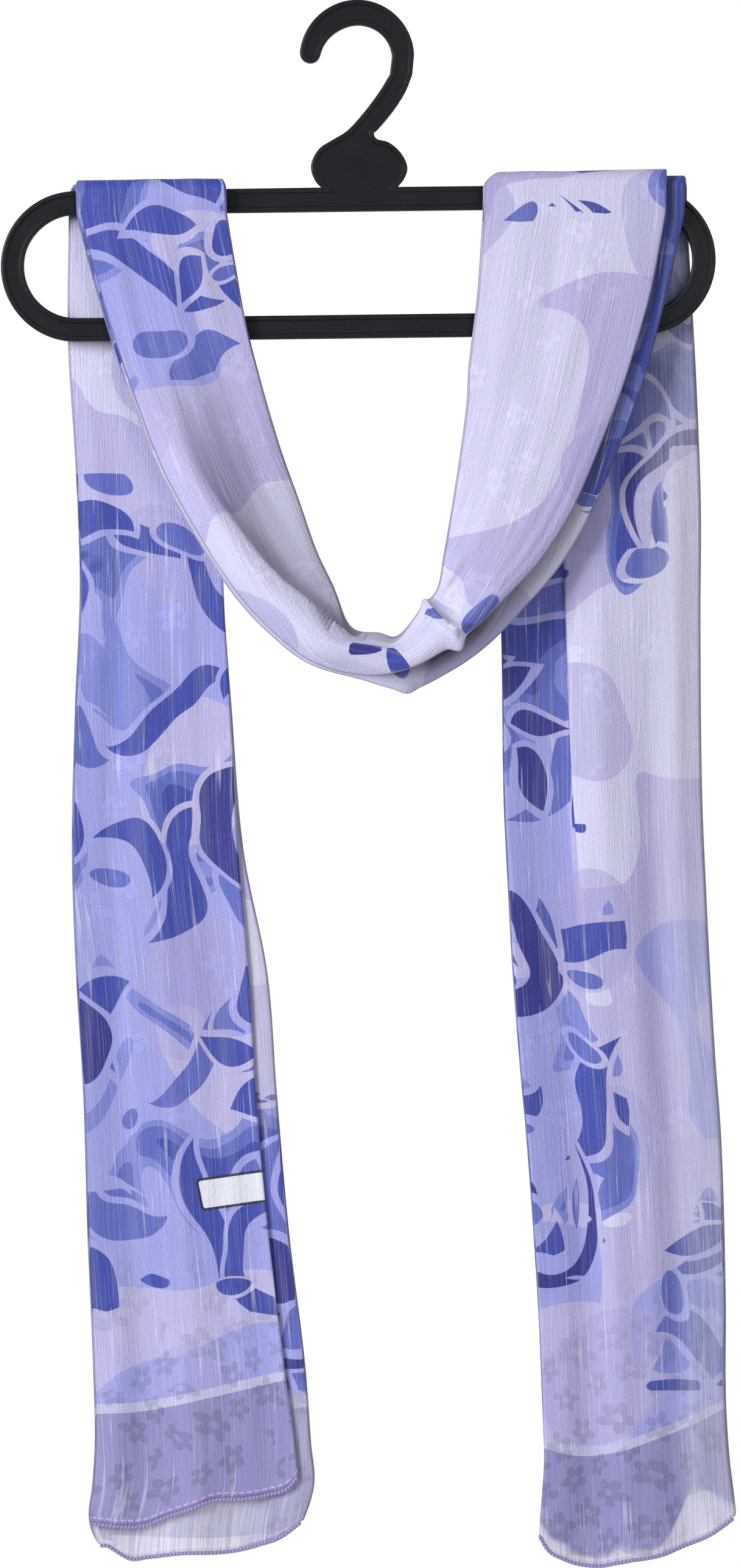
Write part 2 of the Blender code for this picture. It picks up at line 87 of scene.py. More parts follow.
# The step from the rim down to the web: how far in each part of it goes, and how soft its edges are.
WEB_STEP, WEB_STEP_SOFT = (0.12, 0.3, 0.25, 0.6), 0.05
LOOP_CENTRE_X, LOOP_CENTRE_Z = -0.2, -107.5
LOOP_HALF_WIDTH = 161.3
LOOP_RADIUS = 33.9
BAND = 10.5
HANGER_TILT = math.radians(0.69)
SHARP_ANGLE = math.radians(50)
HOOK_CENTRE_Z = -15.4
# The hook round its centre: angle in degrees, inner and outer radius.
HOOK_ARC = ((172, 17.2, 26.8), (130, 15.8, 26.8), (90, 15.4, 26.7), (45, 15.2, 25.8), (0, 15.0, 25.0))
HOOK_STEP, TIP_STEPS, NECK_STEPS = 4, 14, 3
# The neck and the paddle, each side from the hook down to the top bar: x, z.
NECK_LEFT = (
    (14.0, -22.5), (9.2, -30.4), (2.1, -39.9), (-5.0, -47.7), (-11.3, -51.7), (-17.6, -55.7),
    (-21.0, -61.2), (-21.4, -65.9), (-19.3, -70.7), (-16.6, -73.5),
)
NECK_RIGHT = (
    (24.2, -22.5), (21.1, -30.4), (15.5, -39.1), (9.2, -46.6), (6.9, -49.0), (8.4, -51.7),
    (13.2, -52.9), (17.9, -56.5), (21.1, -61.2), (22.0, -65.6), (20.3, -69.9), (17.5, -73.2),
)

# ---- the cloth's sizes -------------------------------------------------------------------------
WALL = 1.1
SHELL = 0.4
# The gap between cloth and bar, and the round edge of the bar that the cloth bends over.
BAR_CLEARANCE = 0.35
BAR_BEND, BEND_STEPS = 1.2, 6
PITCH = 1.9
SEAM_Z = -85.4
BACK_LAYER_IN = 3.0
LAYER_U = 120.0

# The loop in front of the hanger, from the left shoulder down and up to the right one.
Swag = namedtuple("Swag", "outer_x outer_z inner_x inner_z cup dip dip_at front_in pitch")
SWAG = (
    Swag(-127.3, -85.4, -59.4, -85.4, 0.6, 0.0, 0.62, 1.5, 1.9),
    Swag(-121.3, -109.6, -56.1, -105.5, 1.0, 0.0, 0.62, 1.5, 1.9),
    Swag(-111.7, -142.6, -51.2, -133.0, 1.2, 0.6, 0.62, 1.5, 1.9),
    Swag(-101.5, -172.3, -44.3, -160.5, 1.4, 1.6, 0.62, 1.5, 1.9),
    Swag(-89.9, -201.7, -35.5, -190.7, 1.8, 3.4, 0.60, 1.5, 2.0),
    Swag(-74.0, -230.6, -26.7, -215.5, 2.2, 4.8, 0.60, 1.5, 2.0),
    Swag(-55.8, -258.1, -19.0, -237.5, 2.8, 5.4, 0.64, 1.5, 2.1),
    Swag(-38.8, -276.0, -11.3, -253.1, 3.8, 5.2, 0.74, 1.5, 2.2),
    Swag(-21.7, -288.3, -3.0, -271.8, 5.0, 3.6, 0.86, 1.5, 2.2),
    Swag(0.3, -294.7, 9.1, -274.9, 6.4, 1.4, 0.90, 2.0, 2.2),
    Swag(21.7, -299.6, 18.2, -276.2, 7.0, 0.0, 0.90, 8.0, 2.2),
    Swag(40.2, -291.9, 30.0, -262.8, 7.4, 0.0, 0.90, 9.0, 2.2),
    Swag(58.0, -279.5, 36.3, -254.8, 6.6, 0.0, 0.90, 9.0, 2.2),
    Swag(76.2, -261.1, 39.0, -239.4, 5.6, 0.0, 0.90, 9.0, 2.2),
    Swag(91.3, -243.2, 42.0, -221.0, 4.6, 0.0, 0.90, 8.5, 2.2),
    Swag(105.3, -219.0, 45.8, -195.4, 3.8, 0.0, 0.90, 8.0, 2.2),
    Swag(119.1, -186.3, 48.8, -171.5, 3.2, 0.0, 0.90, 8.0, 2.2),
    Swag(128.4, -161.0, 49.8, -153.0, 2.6, 0.0, 0.90, 8.0, 2.3),
    Swag(137.8, -126.1, 53.4, -123.3, 2.0, 0.0, 0.90, 7.0, 2.4),
    Swag(144.0, -99.0, 55.2, -96.0, 1.0, 0.0, 0.90, 7.5, 2.6),
    Swag(147.0, -85.4, 55.8, -85.4, 0.6, 0.0, 0.90, 8.0, 2.7),
)
LAST_PLACE = len(SWAG) - 1.0
DIP_WIDTH = 0.22

# Where the cloth of the loop doubles over itself: place in the table above, share of the width from
# the outer edge, how far the upper part overlaps, and how high it stands.
Tuck = namedtuple("Tuck", "place share overlap lift half_width")
SWAG_TUCK = (
    Tuck(-1.0, 0.25, 0.0, 0.0, 8.0),
    Tuck(2.2, 0.25, 0.0, 0.0, 8.0),
    Tuck(3.4, 0.28, 0.0, 2.4, 8.0),
    Tuck(4.4, 0.32, 0.6, 4.8, 7.0),
    Tuck(5.4, 0.38, 2.2, 6.4, 5.4),
    Tuck(6.4, 0.48, 3.4, 7.0, 4.2),
    Tuck(7.3, 0.62, 3.8, 6.6, 3.4),
    Tuck(8.0, 0.77, 3.4, 5.8, 3.2),
    Tuck(8.4, 0.90, 1.6, 5.0, 3.2),
    Tuck(8.8, 1.06, 0.0, 4.0, 3.4),
    Tuck(9.6, 1.25, 0.0, 3.0, 3.4),
    Tuck(11.0, 1.25, 0.0, 2.2, 3.4),
    Tuck(13.0, 1.25, 0.0, 0.8, 3.4),
    Tuck(15.0, 1.25, 0.0, 0.0, 3.4),
)
# The right tail's wide panel laps over its inner strip, until the pleat dies out.
PLEAT_TUCK = (
    Tuck(-150.0, 0.66, 0.0, 0.0, 3.4),
    Tuck(-215.0, 0.66, 2.6, 1.8, 3.4),
    Tuck(-310.0, 0.65, 2.6, 1.8, 3.4),
    Tuck(-360.0, 0.64, 1.6, 1.2, 3.6),
    Tuck(-405.0, 0.63, 0.0, 0.4, 4.0),
    Tuck(-460.0, 0.63, 0.0, 0.0, 4.0),
)
# Lines crowd together within this many millimetres of a tuck, and this share of them all does.
FOCUS_HALF_WIDTH, FOCUS_STEPS_SHARE = 9.0, 0.36

# Soft creases, each from one end to the other: place and share of width, how wide and how high.
Crease = namedtuple("Crease", "place share to_place to_share width height")
SWAG_CREASES = (
    Crease(-0.6, 0.52, 5.2, 0.46, 9.0, 1.5),
    Crease(-0.6, 0.80, 4.4, 0.66, 8.0, 1.2),
    Crease(-0.4, 0.16, 3.4, 0.12, 7.0, 1.0),
    Crease(0.6, 0.66, 6.6, 0.82, 5.0, -0.7),
    Crease(1.2, 0.34, 5.0, 0.20, 6.0, 0.9),
    Crease(2.0, 0.93, 8.6, 0.96, 5.0, 1.0),
    Crease(4.6, 0.70, 7.8, 0.90, 4.5, 0.9),
    Crease(5.6, 0.14, 10.4, 0.30, 4.0, 0.7),
    Crease(7.2, 0.40, 11.4, 0.66, 4.5, 1.0),
    Crease(8.6, 0.62, 11.2, 0.84, 3.6, 0.9),
    Crease(10.93, 1.25, 11.62, 0.16, 3.2, 5.8),
    Crease(11.5, 0.34, 11.95, 0.02, 2.6, 3.4),
    Crease(11.4, 1.15, 12.05, 0.40, 4.4, -2.2),
    Crease(10.3, 0.95, 11.25, 0.50, 3.8, -1.6),
    Crease(11.75, 1.00, 13.2, 0.74, 3.0, 1.4),
    Crease(11.5, 0.06, 17.0, 0.04, 2.6, 0.5),
    Crease(11.4, 0.18, 16.4, 0.12, 3.4, 0.6),
    Crease(12.0, 0.31, 18.6, 0.22, 5.0, 0.5),
    Crease(12.2, 0.46, 19.8, 0.38, 8.0, 0.7),
    Crease(12.6, 0.66, 17.0, 0.60, 8.0, 0.8),
    Crease(14.6, 0.84, 20.8, 0.80, 10.0, 0.7),
    Crease(16.5, 0.56, 20.6, 0.60, 7.0, -0.5),
)
# Short corners where the cloth is pinched: place, how far they are drawn out of the edge and over what
# length, whether that is the inner edge, and whether it is the front layer or the ones behind it.
Corner = namedtuple("Corner", "place reach spread inner front")
CORNERS = (
    Corner(11.0, 2.6, 0.16, True, True),
    Corner(11.45, 4.4, 0.20, False, True),
    Corner(10.0, 1.8, 0.20, False, False),
)
SWAG_BACK_CREASES = (
    Crease(3.6, 0.30, 7.6, 0.40, 7.0, 1.0),
    Crease(5.0, 0.66, 9.4, 0.58, 5.0, 1.2),
    Crease(9.0, 0.34, 13.0, 0.46, 5.0, 1.0),
    Crease(12.4, 0.70, 16.6, 0.62, 8.0, 1.2),
)
LEFT_CREASES = (
    Crease(-150.0, 0.12, -430.0, 0.17, 7.0, 1.2),
    Crease(-180.0, 0.70, -392.0, 0.76, 9.0, 1.4),
    Crease(-232.0, 0.36, -575.0, 0.31, 11.0, 1.5),
    Crease(-330.0, 0.58, -610.0, 0.62, 7.0, -0.8),
    Crease(-452.0, 0.86, -690.0, 0.76, 8.0, 1.5),
    Crease(-545.0, 0.16, -705.0, 0.10, 9.0, 1.8),
    Crease(-590.0, 0.46, -705.0, 0.52, 7.0, 1.5),
)
LEFT_BACK_CREASES = (
    Crease(-95.0, 0.30, -400.0, 0.26, 9.0, 1.6),
    Crease(-130.0, 0.62, -520.0, 0.70, 10.0, 1.4),
    Crease(-380.0, 0.44, -690.0, 0.38, 8.0, 1.8),
    Crease(-480.0, 0.84, -700.0, 0.80, 7.0, 1.4),
)
RIGHT_CREASES = (
    Crease(-160.0, 0.10, -520.0, 0.12, 6.0, 1.5),
    Crease(-210.0, 0.24, -640.0, 0.25, 7.0, -0.8),
    Crease(-236.0, 0.50, -428.0, 0.48, 7.0, 1.1),
    Crease(-300.0, 0.37, -705.0, 0.35, 9.0, 1.6),
    Crease(-402.0, 0.76, -570.0, 0.74, 8.0, -0.8),
    Crease(-430.0, 0.61, -705.0, 0.56, 9.0, 1.8),
    Crease(-505.0, 0.84, -705.0, 0.87, 8.0, 1.5),
    Crease(-560.0, 0.17, -705.0, 0.11, 7.0, 1.8),
)
RIGHT_BACK_CREASES = (
    Crease(-95.0, 0.22, -360.0, 0.28, 9.0, 1.6),
    Crease(-120.0, 0.70, -460.0, 0.64, 10.0, 1.6),
    Crease(-300.0, 0.48, -690.0, 0.42, 9.0, 1.8),
    Crease(-500.0, 0.80, -690.0, 0.84, 7.0, 1.2),
)

# The tails behind the hanger: the outer edge, and the inner edges of the layer nearest the hanger
# and of the ones behind it.
Tail = namedtuple("Tail", "z outer front_inner back_inner")
LEFT_TAIL = (
    Tail(-85.4, -131.2, -59.7, -60.7),
    Tail(-142.9, -131.5, -59.4, -60.4),
    Tail(-197.6, -128.2, -60.2, -61.2),
    Tail(-252.6, -126.2, -60.2, -61.2),
    Tail(-309.8, -128.4, -56.9, -57.4),
    Tail(-373.6, -129.7, -53.4, -52.0),
    Tail(-428.6, -127.9, -48.7, -41.3),
    Tail(-483.6, -124.6, -45.4, -37.0),
    Tail(-546.8, -122.7, -39.6, -31.4),
    Tail(-606.0, -120.2, -32.5, -24.2),
    Tail(-641.4, -119.4, -27.8, -21.5),
    Tail(-659.6, -120.5, -26.0, -20.1),
    Tail(-676.1, -122.0, -25.0, -25.0),
    Tail(-694.0, -115.0, -25.0, -35.0),
)
RIGHT_TAIL = (
    Tail(-85.4, 148.5, 56.1, 57.1),
    Tail(-131.0, 151.2, 56.7, 57.7),
    Tail(-170.6, 153.2, 58.0, 59.0),
    Tail(-217.9, 154.8, 60.2, 61.2),
    Tail(-271.0, 154.6, 63.3, 64.3),
    Tail(-349.4, 155.4, 64.6, 65.6),
    Tail(-386.2, 156.9, 66.3, 67.3),
    Tail(-423.1, 158.7, 68.3, 69.3),
    Tail(-465.4, 161.2, 71.5, 72.5),
    Tail(-502.3, 163.9, 74.8, 75.8),
    Tail(-576.0, 166.0, 79.8, 81.0),
    Tail(-621.1, 166.1, 81.7, 83.0),
    Tail(-648.6, 167.8, 82.2, 84.0),
    Tail(-666.2, 170.0, 81.1, 84.0),
    Tail(-682.1, 171.6, 80.0, 84.0),
    Tail(-698.0, 171.6, 80.0, 84.0),
)
# Where each layer ends, the layer nearest the hanger first: x, z along the hem.
LEFT_HEMS = (
    ((-122.7, -676.9), (-99.0, -678.3), (-87.2, -674.2), (-75.1, -670.0), (-65.7, -666.5),
     (-51.4, -665.9), (-39.6, -664.0), (-30.3, -661.0), (-25.0, -655.7)),
    ((-118.0, -687.0), (-108.4, -693.1), (-99.0, -692.6), (-81.1, -690.7), (-51.4, -689.6),
     (-39.6, -686.5), (-31.4, -683.0), (-25.0, -676.0)),
    ((-118.0, -683.0), (-60.0, -684.0), (-35.0, -681.0), (-28.9, -678.8), (-21.7, -668.7)),
)
RIGHT_HEMS = (
    ((80.0, -682.1), (83.3, -688.7), (89.1, -692.9), (95.7, -695.6), (106.7, -696.4),
     (119.1, -695.1), (131.7, -693.7), (144.1, -691.2), (152.6, -687.1), (160.9, -683.0),
     (167.5, -678.0), (171.6, -674.4)),
    ((80.0, -676.0), (110.0, -688.0), (140.0, -684.0), (147.0, -664.0), (158.0, -662.0),
     (171.6, -668.0)),
    ((80.0, -668.0), (120.0, -674.0), (171.6, -660.0)),
)
# The tails' soft waves across, and the heights between which they grow.
WAVE_DEPTH, WAVE_COUNT, WAVE_Z = 2.8, 2.0, (-150.0, -420.0)
# The step of the right tail's pleat, the shares it lies between and the heights where it dies out.
PLEAT_DEPTH, PLEAT_SHARES, PLEAT_FADE_Z = 2.2, (0.57, 0.71), (-355.0, -400.0)


# ---- small helpers -----------------------------------------------------------------------------
def lerp(start, end, share):
    return start + (end - start) * share


def clamp(value, low=0.0, high=1.0):
    return min(high, max(low, value))


def smoothstep(low, high, value):
    share = clamp((value - low) / (high - low))
    return share * share * (3.0 - 2.0 * share)


class Curve:
    """A smooth line through pairs of numbers, level past its ends."""

    def __init__(self, pairs):
        self.places, self.values = zip(*sorted(pairs))
        runs = list(zip(self.places, self.values))
        steps = [(y1 - y0) / (x1 - x0) for (x0, y0), (x1, y1) in zip(runs, runs[1:])]
        self.slopes = [steps[0], *((a + b) / 2 for a, b in zip(steps, steps[1:])), steps[-1]]

    def __call__(self, place):
        place = clamp(place, self.places[0], self.places[-1])
        index = min(max(bisect(self.places, place) - 1, 0), len(self.places) - 2)
        width = self.places[index + 1] - self.places[index]
        t = (place - self.places[index]) / width
        low, high = self.values[index], self.values[index + 1]
        entering, leaving = self.slopes[index] * width, self.slopes[index + 1] * width
        return (low * (1 + 2 * t) * (1 - t) ** 2 + entering * t * (1 - t) ** 2
                + high * t * t * (3 - 2 * t) + leaving * t * t * (t - 1))


def ease(span, value):
    """0 at a span's first number and 1 at its last."""
    return smoothstep(*span, value)


def between(span, value):
    """0 outside the four numbers of a span, and 1 between the two inner ones."""
    start, full, fade, end = span
    return smoothstep(start, full, value) * smoothstep(end, fade, value)


def ramp(pairs):
    """A line that eases from each number to the next, and never past them."""
    places, values = zip(*sorted(pairs))

    def at(place):
        index = min(max(bisect(places, place) - 1, 0), len(places) - 2)
        return lerp(values[index], values[index + 1],
                    smoothstep(places[index], places[index + 1], place))
    return at


def curves(rows, key=None):
    """A smooth line for each column of a table, against one of its columns or the row's number."""
    keys = [index if key is None else getattr(row, key) for index, row in enumerate(rows)]
    return {field: Curve(zip(keys, (getattr(row, field) for row in rows)))
            for field in rows[0]._fields if field != key}


def arc(centre_x, centre_z, radius, start, end, steps):
    """Points on an arc, its angles in degrees."""
    angles = [math.radians(lerp(start, end, i / steps)) for i in range(steps + 1)]
    return [(centre_x + radius * math.cos(a), centre_z + radius * math.sin(a)) for a in angles]


def travelled(points):
    """How far each point is along the line through them all."""
    return list(accumulate(((here - before).length for before, here in zip(points, points[1:])),
                           initial=0.0))


def finished_mesh(name, work):
    """The mesh of a bmesh that is done with."""
    mesh = bpy.data.meshes.new(name)
    work.to_mesh(mesh)
    work.free()
    return mesh


def set_flat_places(work, name, places):
    """Gives a bmesh a UV map, from each vertex's place on the flat material."""
    flat = work.loops.layers.uv.new(name)
    for face in work.faces:
        for loop in face.loops:
            loop[flat].uv = places[loop.vert.index]


def add_piece(name, mesh, finishes):
    """A finished mesh as a piece of the object, which rides on its one body."""
    piece = bpy.data.objects.new(name, mesh)
    bpy.context.scene.collection.objects.link(piece)
    for finish in finishes:
        mesh.materials.append(finish)
    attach(piece, "root")
    return piece


# ---- the hanger's mesh -------------------------------------------------------------------------
def tilted(points):
    """Turns the loop's points about its centre, because the loaded hanger hangs a little askew."""
    cos, sin = math.cos(HANGER_TILT), math.sin(HANGER_TILT)
    turned = []
    for x, z in points:
        dx, dz = x - LOOP_CENTRE_X, z - LOOP_CENTRE_Z
        turned.append((LOOP_CENTRE_X + dx * cos - dz * sin, LOOP_CENTRE_Z + dx * sin + dz * cos))
    return turned


def bar_top(x):
    """Height of the top bar's upper edge."""
    return LOOP_CENTRE_Z + LOOP_RADIUS + math.tan(HANGER_TILT) * (x - LOOP_CENTRE_X)


def half_loop(side, radius, first, last, steps):
    """One round end of the hanger's loop."""
    centre_x = LOOP_CENTRE_X + side * (LOOP_HALF_WIDTH - LOOP_RADIUS)
    return tilted(arc(centre_x, LOOP_CENTRE_Z, radius, first, last, steps))


def hook_side(radii, step):
    """Points on the hook's inner or outer side, from its tip over the crown to the right."""
    angles = range(HOOK_ARC[0][0], HOOK_ARC[-1][0], -step)
    return [arc(0.0, HOOK_CENTRE_Z, radii(a), a, a, 1)[0] for a in angles]


def hook_tip(angle, inner_radius, outer_radius, steps):
    """The rounded end of the hook, from its outer side to its inner one."""
    outer = arc(0.0, HOOK_CENTRE_Z, outer_radius, angle, angle, 1)[0]
    inner = arc(0.0, HOOK_CENTRE_Z, inner_radius, angle, angle, 1)[0]
    middle = ((outer[0] + inner[0]) / 2, (outer[1] + inner[1]) / 2)
    start = math.degrees(math.atan2(outer[1] - middle[1], outer[0] - middle[0])) % 360
    return arc(*middle, math.dist(outer, inner) / 2, start, start + 180, steps)[1:-1]


def rounded(points, steps):
    """A smooth line through points, with so many steps between two of them."""
    along_x = Curve(enumerate(x for x, z in points))
    along_z = Curve(enumerate(z for x, z in points))
    count = (len(points) - 1) * steps
    return [(along_x(i / steps), along_z(i / steps)) for i in range(count + 1)]


def hanger_outline(arc_steps):
    """The outer edge of hook, paddle and loop as one closed line, clockwise from the paddle."""
    inner, outer = (Curve([(row[0], row[side]) for row in HOOK_ARC]) for side in (1, 2))
    line = list(reversed(rounded(NECK_LEFT, NECK_STEPS)))
    line += list(reversed(hook_side(inner, HOOK_STEP)))
    line += list(reversed(hook_tip(*HOOK_ARC[0], TIP_STEPS)))
    line += hook_side(outer, HOOK_STEP)
    line += rounded(NECK_RIGHT, NECK_STEPS)
    line += half_loop(1, LOOP_RADIUS, 90, -90, arc_steps)
    line += half_loop(-1, LOOP_RADIUS, 270, 90, arc_steps)
    return line


def window_outline(arc_steps):
    """The loop's inner edge, anticlockwise."""
    radius = LOOP_RADIUS - BAND
    return half_loop(1, radius, -90, 90, arc_steps) + half_loop(-1, radius, 90, 270, arc_steps)


def hanger_mesh(arc_steps, rim, recess):
    """Half a moulding is pushed out from its flat outline, step by step, and then mirrored."""
    work = bmesh.new()
    for line in (hanger_outline(arc_steps), window_outline(arc_steps)):
        verts = [work.verts.new((x * MM, 0.0, z * MM)) for x, z in line]
        for start, end in zip(verts, verts[1:] + verts[:1]):
            work.edges.new((start, end))
    bmesh.ops.triangle_fill(work, edges=work.edges[:], use_beauty=True, normal=(0.0, -1.0, 0.0))
    flat = work.faces[:]
    for face in flat:
        if face.normal.y > 0:
            face.normal_flip()
    straight = THICKNESS / 2 - EDGE_ROUND
    grown = bmesh.ops.extrude_face_region(work, geom=flat)
    bmesh.ops.delete(work, geom=flat, context="FACES_ONLY")
    top = [item for item in grown["geom"] if isinstance(item, bmesh.types.BMFace)]
    moved = [item for item in grown["geom"] if isinstance(item, bmesh.types.BMVert)]
    bmesh.ops.translate(work, verts=moved, vec=(0.0, -straight * MM, 0.0))
    turns = [math.radians(90 * i / EDGE_STEPS) for i in range(EDGE_STEPS + 1)]
    steps = [(EDGE_ROUND * (math.cos(a) - math.cos(b)), EDGE_ROUND * (math.sin(b) - math.sin(a)))
             for a, b in zip(turns, turns[1:])]
    drops = (-WEB_STEP_SOFT, 2 * WEB_STEP_SOFT - recess, -WEB_STEP_SOFT, 0.0)
    steps += [(rim - EDGE_ROUND, 0.0), *zip(WEB_STEP, drops)]
    for inwards, outwards in steps:
        bmesh.ops.inset_region(work, faces=top, thickness=inwards * MM, depth=outwards * MM,
                               use_boundary=True, use_even_offset=True)
    bmesh.ops.mirror(work, geom=work.verts[:] + work.edges[:] + work.faces[:], axis="Y",
                     merge_dist=MIRROR_MERGE)
    bmesh.ops.remove_doubles(work, verts=work.verts, dist=MERGE)
    bmesh.ops.recalc_face_normals(work, faces=work.faces)
    mesh = finished_mesh("hanger_moulding", work)
    mesh.shade_smooth()
    mesh.set_sharp_from_angle(angle=SHARP_ANGLE)
    return mesh


# ---- the folded ribbon -------------------------------------------------------------------------
# One section across the ribbon: its outer and inner edge, the way its layers stack, the layers'
# spacing, how far the free edges lie in, and how far its surface stands out at a share of its width.
Section = namedtuple("Section", "outer inner out pitch first_in last_in wave")
# One lengthwise line of the ribbon: its layer, share of the width and how far round a fold it is,
# and how much it takes of the creases of the top layer and of the bottom one.
Line = namedtuple("Line", "layer share beyond top bottom")
FOLD_STEPS = 7
# What is painted on the cloth: amount of print, tone of its ground, how far light comes through (which
# sets both the see-through and a painted glow), painted shade inside a fold, and height over the band
# along its hem and over the hem itself.
PAINT = ("print", "tone", "sheer", "depth", "over_band", "over_hem")
# Faces with more than this much sheerness have the see-through finish.
LEAST_SHEER = 0.02
# The top layer's free edge is turned under by this part of a layer's spacing, at these shares.
TURN_UNDER, TURNED_SHARES = 0.55, (0.05, 0.03, 0.01)
# How steep a crease's sides are, how soon its ends fade, and how many widths away it is gone.
CREASE_FALL, CREASE_ENDS, CREASE_REACH = 1.6, 0.7, 2.2
# The swell of the cloth before a tuck, and the height of the wave by which it slides over itself.
TUCK_SWELL, TUCK_ROUND, TUCK_WAVE = 0.62, 0.8, 1.54
# The share of the width over which the ribbon's slope is taken.
SLOPE_STEP = 0.01


def ribbon_lines(top_steps, middle_steps, bottom_steps):
    """The ribbon's lines in order: a narrow turning, top layer, fold, middle, fold, bottom layer."""
    def layer(number, steps, backwards=False):
        shares = [i / steps for i in range(steps + 1)]
        top, bottom = float(number == 2), float(number == 0)
        order = reversed(shares) if backwards else shares
        return [Line(number, share, 0.0, top, bottom) for share in order]

    def fold(upper, share, side):
        lines = []
        for i in range(1, FOLD_STEPS):
            turn = math.pi * i / FOLD_STEPS
            level = upper - (1 - math.cos(turn)) / 2
            lines.append(Line(level, share, side * math.sin(turn) / 2,
                              max(0.0, level - 1.0), max(0.0, 1.0 - level)))
        return lines

    turning = [Line(2 - TURN_UNDER, share, 0.0, 1.0, 0.0) for share in TURNED_SHARES]
    for i in range(FOLD_STEPS - 1, 0, -1):
        turn = math.pi * i / FOLD_STEPS
        level = 2 - TURN_UNDER * (1 - math.cos(turn)) / 2
        turning.append(Line(level, 0.0, -TURN_UNDER * math.sin(turn) / 2, 1.0, 0.0))
    return (turning + layer(2, top_steps) + fold(2, 1.0, 1) + layer(1, middle_steps, True)
            + fold(1, 0.0, -1) + layer(0, bottom_steps))


def on_ribbon(section, line, share, lift, slide):
    """A point of the ribbon in millimetres, and how far it is across its layer."""
    across = section.inner - section.outer
    width = across.length
    along = across / width
    fold_in = (section.pitch + SHELL) / 2
    first = (fold_in + section.first_in * clamp((line.layer - 1.0) / (1.0 - TURN_UNDER))) / width
    last = (fold_in + section.last_in * clamp(1.0 - line.layer)) / width
    place = lerp(first, 1.0 - last, share)
    rise = section.wave(place + SLOPE_STEP) - section.wave(place - SLOPE_STEP)
    slope = rise / (2 * SLOPE_STEP * width)
    tangent = (along + section.out * slope).normalized()
    normal = (section.out - along * slope).normalized()
    surface = section.outer + along * (place * width + slide) + section.out * section.wave(place)
    under = min(line.layer, 1.0) * section.pitch
    stacked = normal * under + section.out * (line.layer * section.pitch - under + lift)
    return surface + stacked + tangent * line.beyond * section.pitch, (place - 0.5) * width


def crease_height(creases, place, share, width, scale):
    """Height at a place of the cloth, where each crease is a soft ridge or trough."""
    height = 0.0
    across = share * width
    for crease in creases:
        run = (crease.to_place - crease.place) * scale
        rise = (crease.to_share - crease.share) * width
        dv = (place - crease.place) * scale
        du = across - crease.share * width
        t = clamp((dv * run + du * rise) / (run * run + rise * rise))
        away = math.hypot(dv - t * run, du - t * rise) / crease.width
        if away < CREASE_REACH:
            fall = math.exp(-CREASE_FALL * away * away)
            height += crease.height * math.sin(math.pi * t) ** CREASE_ENDS * fall
    return height


def spread(share, focus, half):
    """Crowds the lengthwise lines together round a place across the width, where cloth is tucked."""
    focus = clamp(focus, half, 1.0 - half)
    low = (1.0 - FOCUS_STEPS_SHARE) * (focus - half) / (1.0 - 2 * half)
    high = low + FOCUS_STEPS_SHARE
    if share < low:
        return (focus - half) * share / max(low, 1e-6)
    if share < high:
        return focus - half + 2 * half * (share - low) / FOCUS_STEPS_SHARE
    return focus + half + (1.0 - focus - half) * (share - high) / max(1.0 - high, 1e-6)


def tuck_shape(tuck, place, share, width):
    """Lift of the part before the tuck, and how far the cloth slides there to lap over itself."""
    at, overlap, lift = tuck["share"](place), tuck["overlap"](place), tuck["lift"](place)
    x = (share - at) * width / tuck["half_width"](place)
    if lift <= 0.0 or x >= 1.0:
        return 0.0, 0.0
    body = math.sin(TUCK_SWELL * math.pi * clamp(share / at) ** TUCK_ROUND)
    fall = 1.0 - smoothstep(-1.0, 1.0, x)
    wave = math.sin(math.pi * x) * (1 + math.cos(math.pi * x)) / TUCK_WAVE if x > -1.0 else 0.0
    return lift * body * fall, -overlap * wave


def cloth_mesh(name, lines, row_count, place_of):
    """A grid of cloth whose points, flat places and paint come from place_of(row share, line)."""
    work = bmesh.new()
    bmesh.ops.create_grid(work, x_segments=row_count - 1, y_segments=len(lines) - 1, size=1.0)
    paint = {key: work.verts.layers.float.new(key) for key in PAINT}
    places = {}
    for vert in work.verts:
        row = round((vert.co.x + 1) / 2 * (row_count - 1))
        line = lines[round((vert.co.y + 1) / 2 * (len(lines) - 1))]
        point, places[vert.index], values = place_of(row / (row_count - 1), line)
        vert.co = point * MM
        for key, value in values.items():
            vert[paint[key]] = value
    set_flat_places(work, "cloth", places)
    for face in work.faces:
        face.material_index = int(max(vert[paint["sheer"]] for vert in face.verts) > LEAST_SHEER)
    mesh = finished_mesh(name, work)
    mesh.shade_smooth()
    return mesh


def cloth_piece(name, mesh, finishes):
    """A piece of cloth, which is a thin shell on both sides of its mesh."""
    piece = add_piece(name, mesh, finishes)
    shell = piece.modifiers.new("shell", "SOLIDIFY")
    shell.thickness = SHELL * MM
    shell.offset = 0.0
    return piece


# ---- the loop in front, with both shoulders ----------------------------------------------------
# How far the cloth's innermost layer is from the hanger's middle, and how far its inner edge is
# drawn in on top of the bar, at the left shoulder and the right one.
INNER_FACE_Y = THICKNESS / 2 + BAR_CLEARANCE + WALL / 2
LEFT_FACET, RIGHT_FACET = -1.0, 5.5
SWAG_LINE = curves(SWAG)
SWAG_TUCK_LINE = curves(SWAG_TUCK, "place")
SWAG_LINES = ribbon_lines(76, 22, 34)
# How far layers stand off where the front fold parts from the one behind it: place and height.
HOLLOW = Curve(((8.6, 0.0), (9.6, 1.2), (10.6, 3.0), (11.6, 3.6), (12.6, 3.0), (14.0, 1.6), (16.0, 0.8),
                (20.0, 0.4)))
# How far the front layer's inner edge lies inside the ones behind it, round the bottom of the loop.
INNER_SET_BACK = Curve(((7.4, 0.0), (8.0, 2.4), (8.7, 4.2), (9.4, 3.8), (10.1, 1.6), (10.6, 0.0),
                        (11.2, 0.0)))
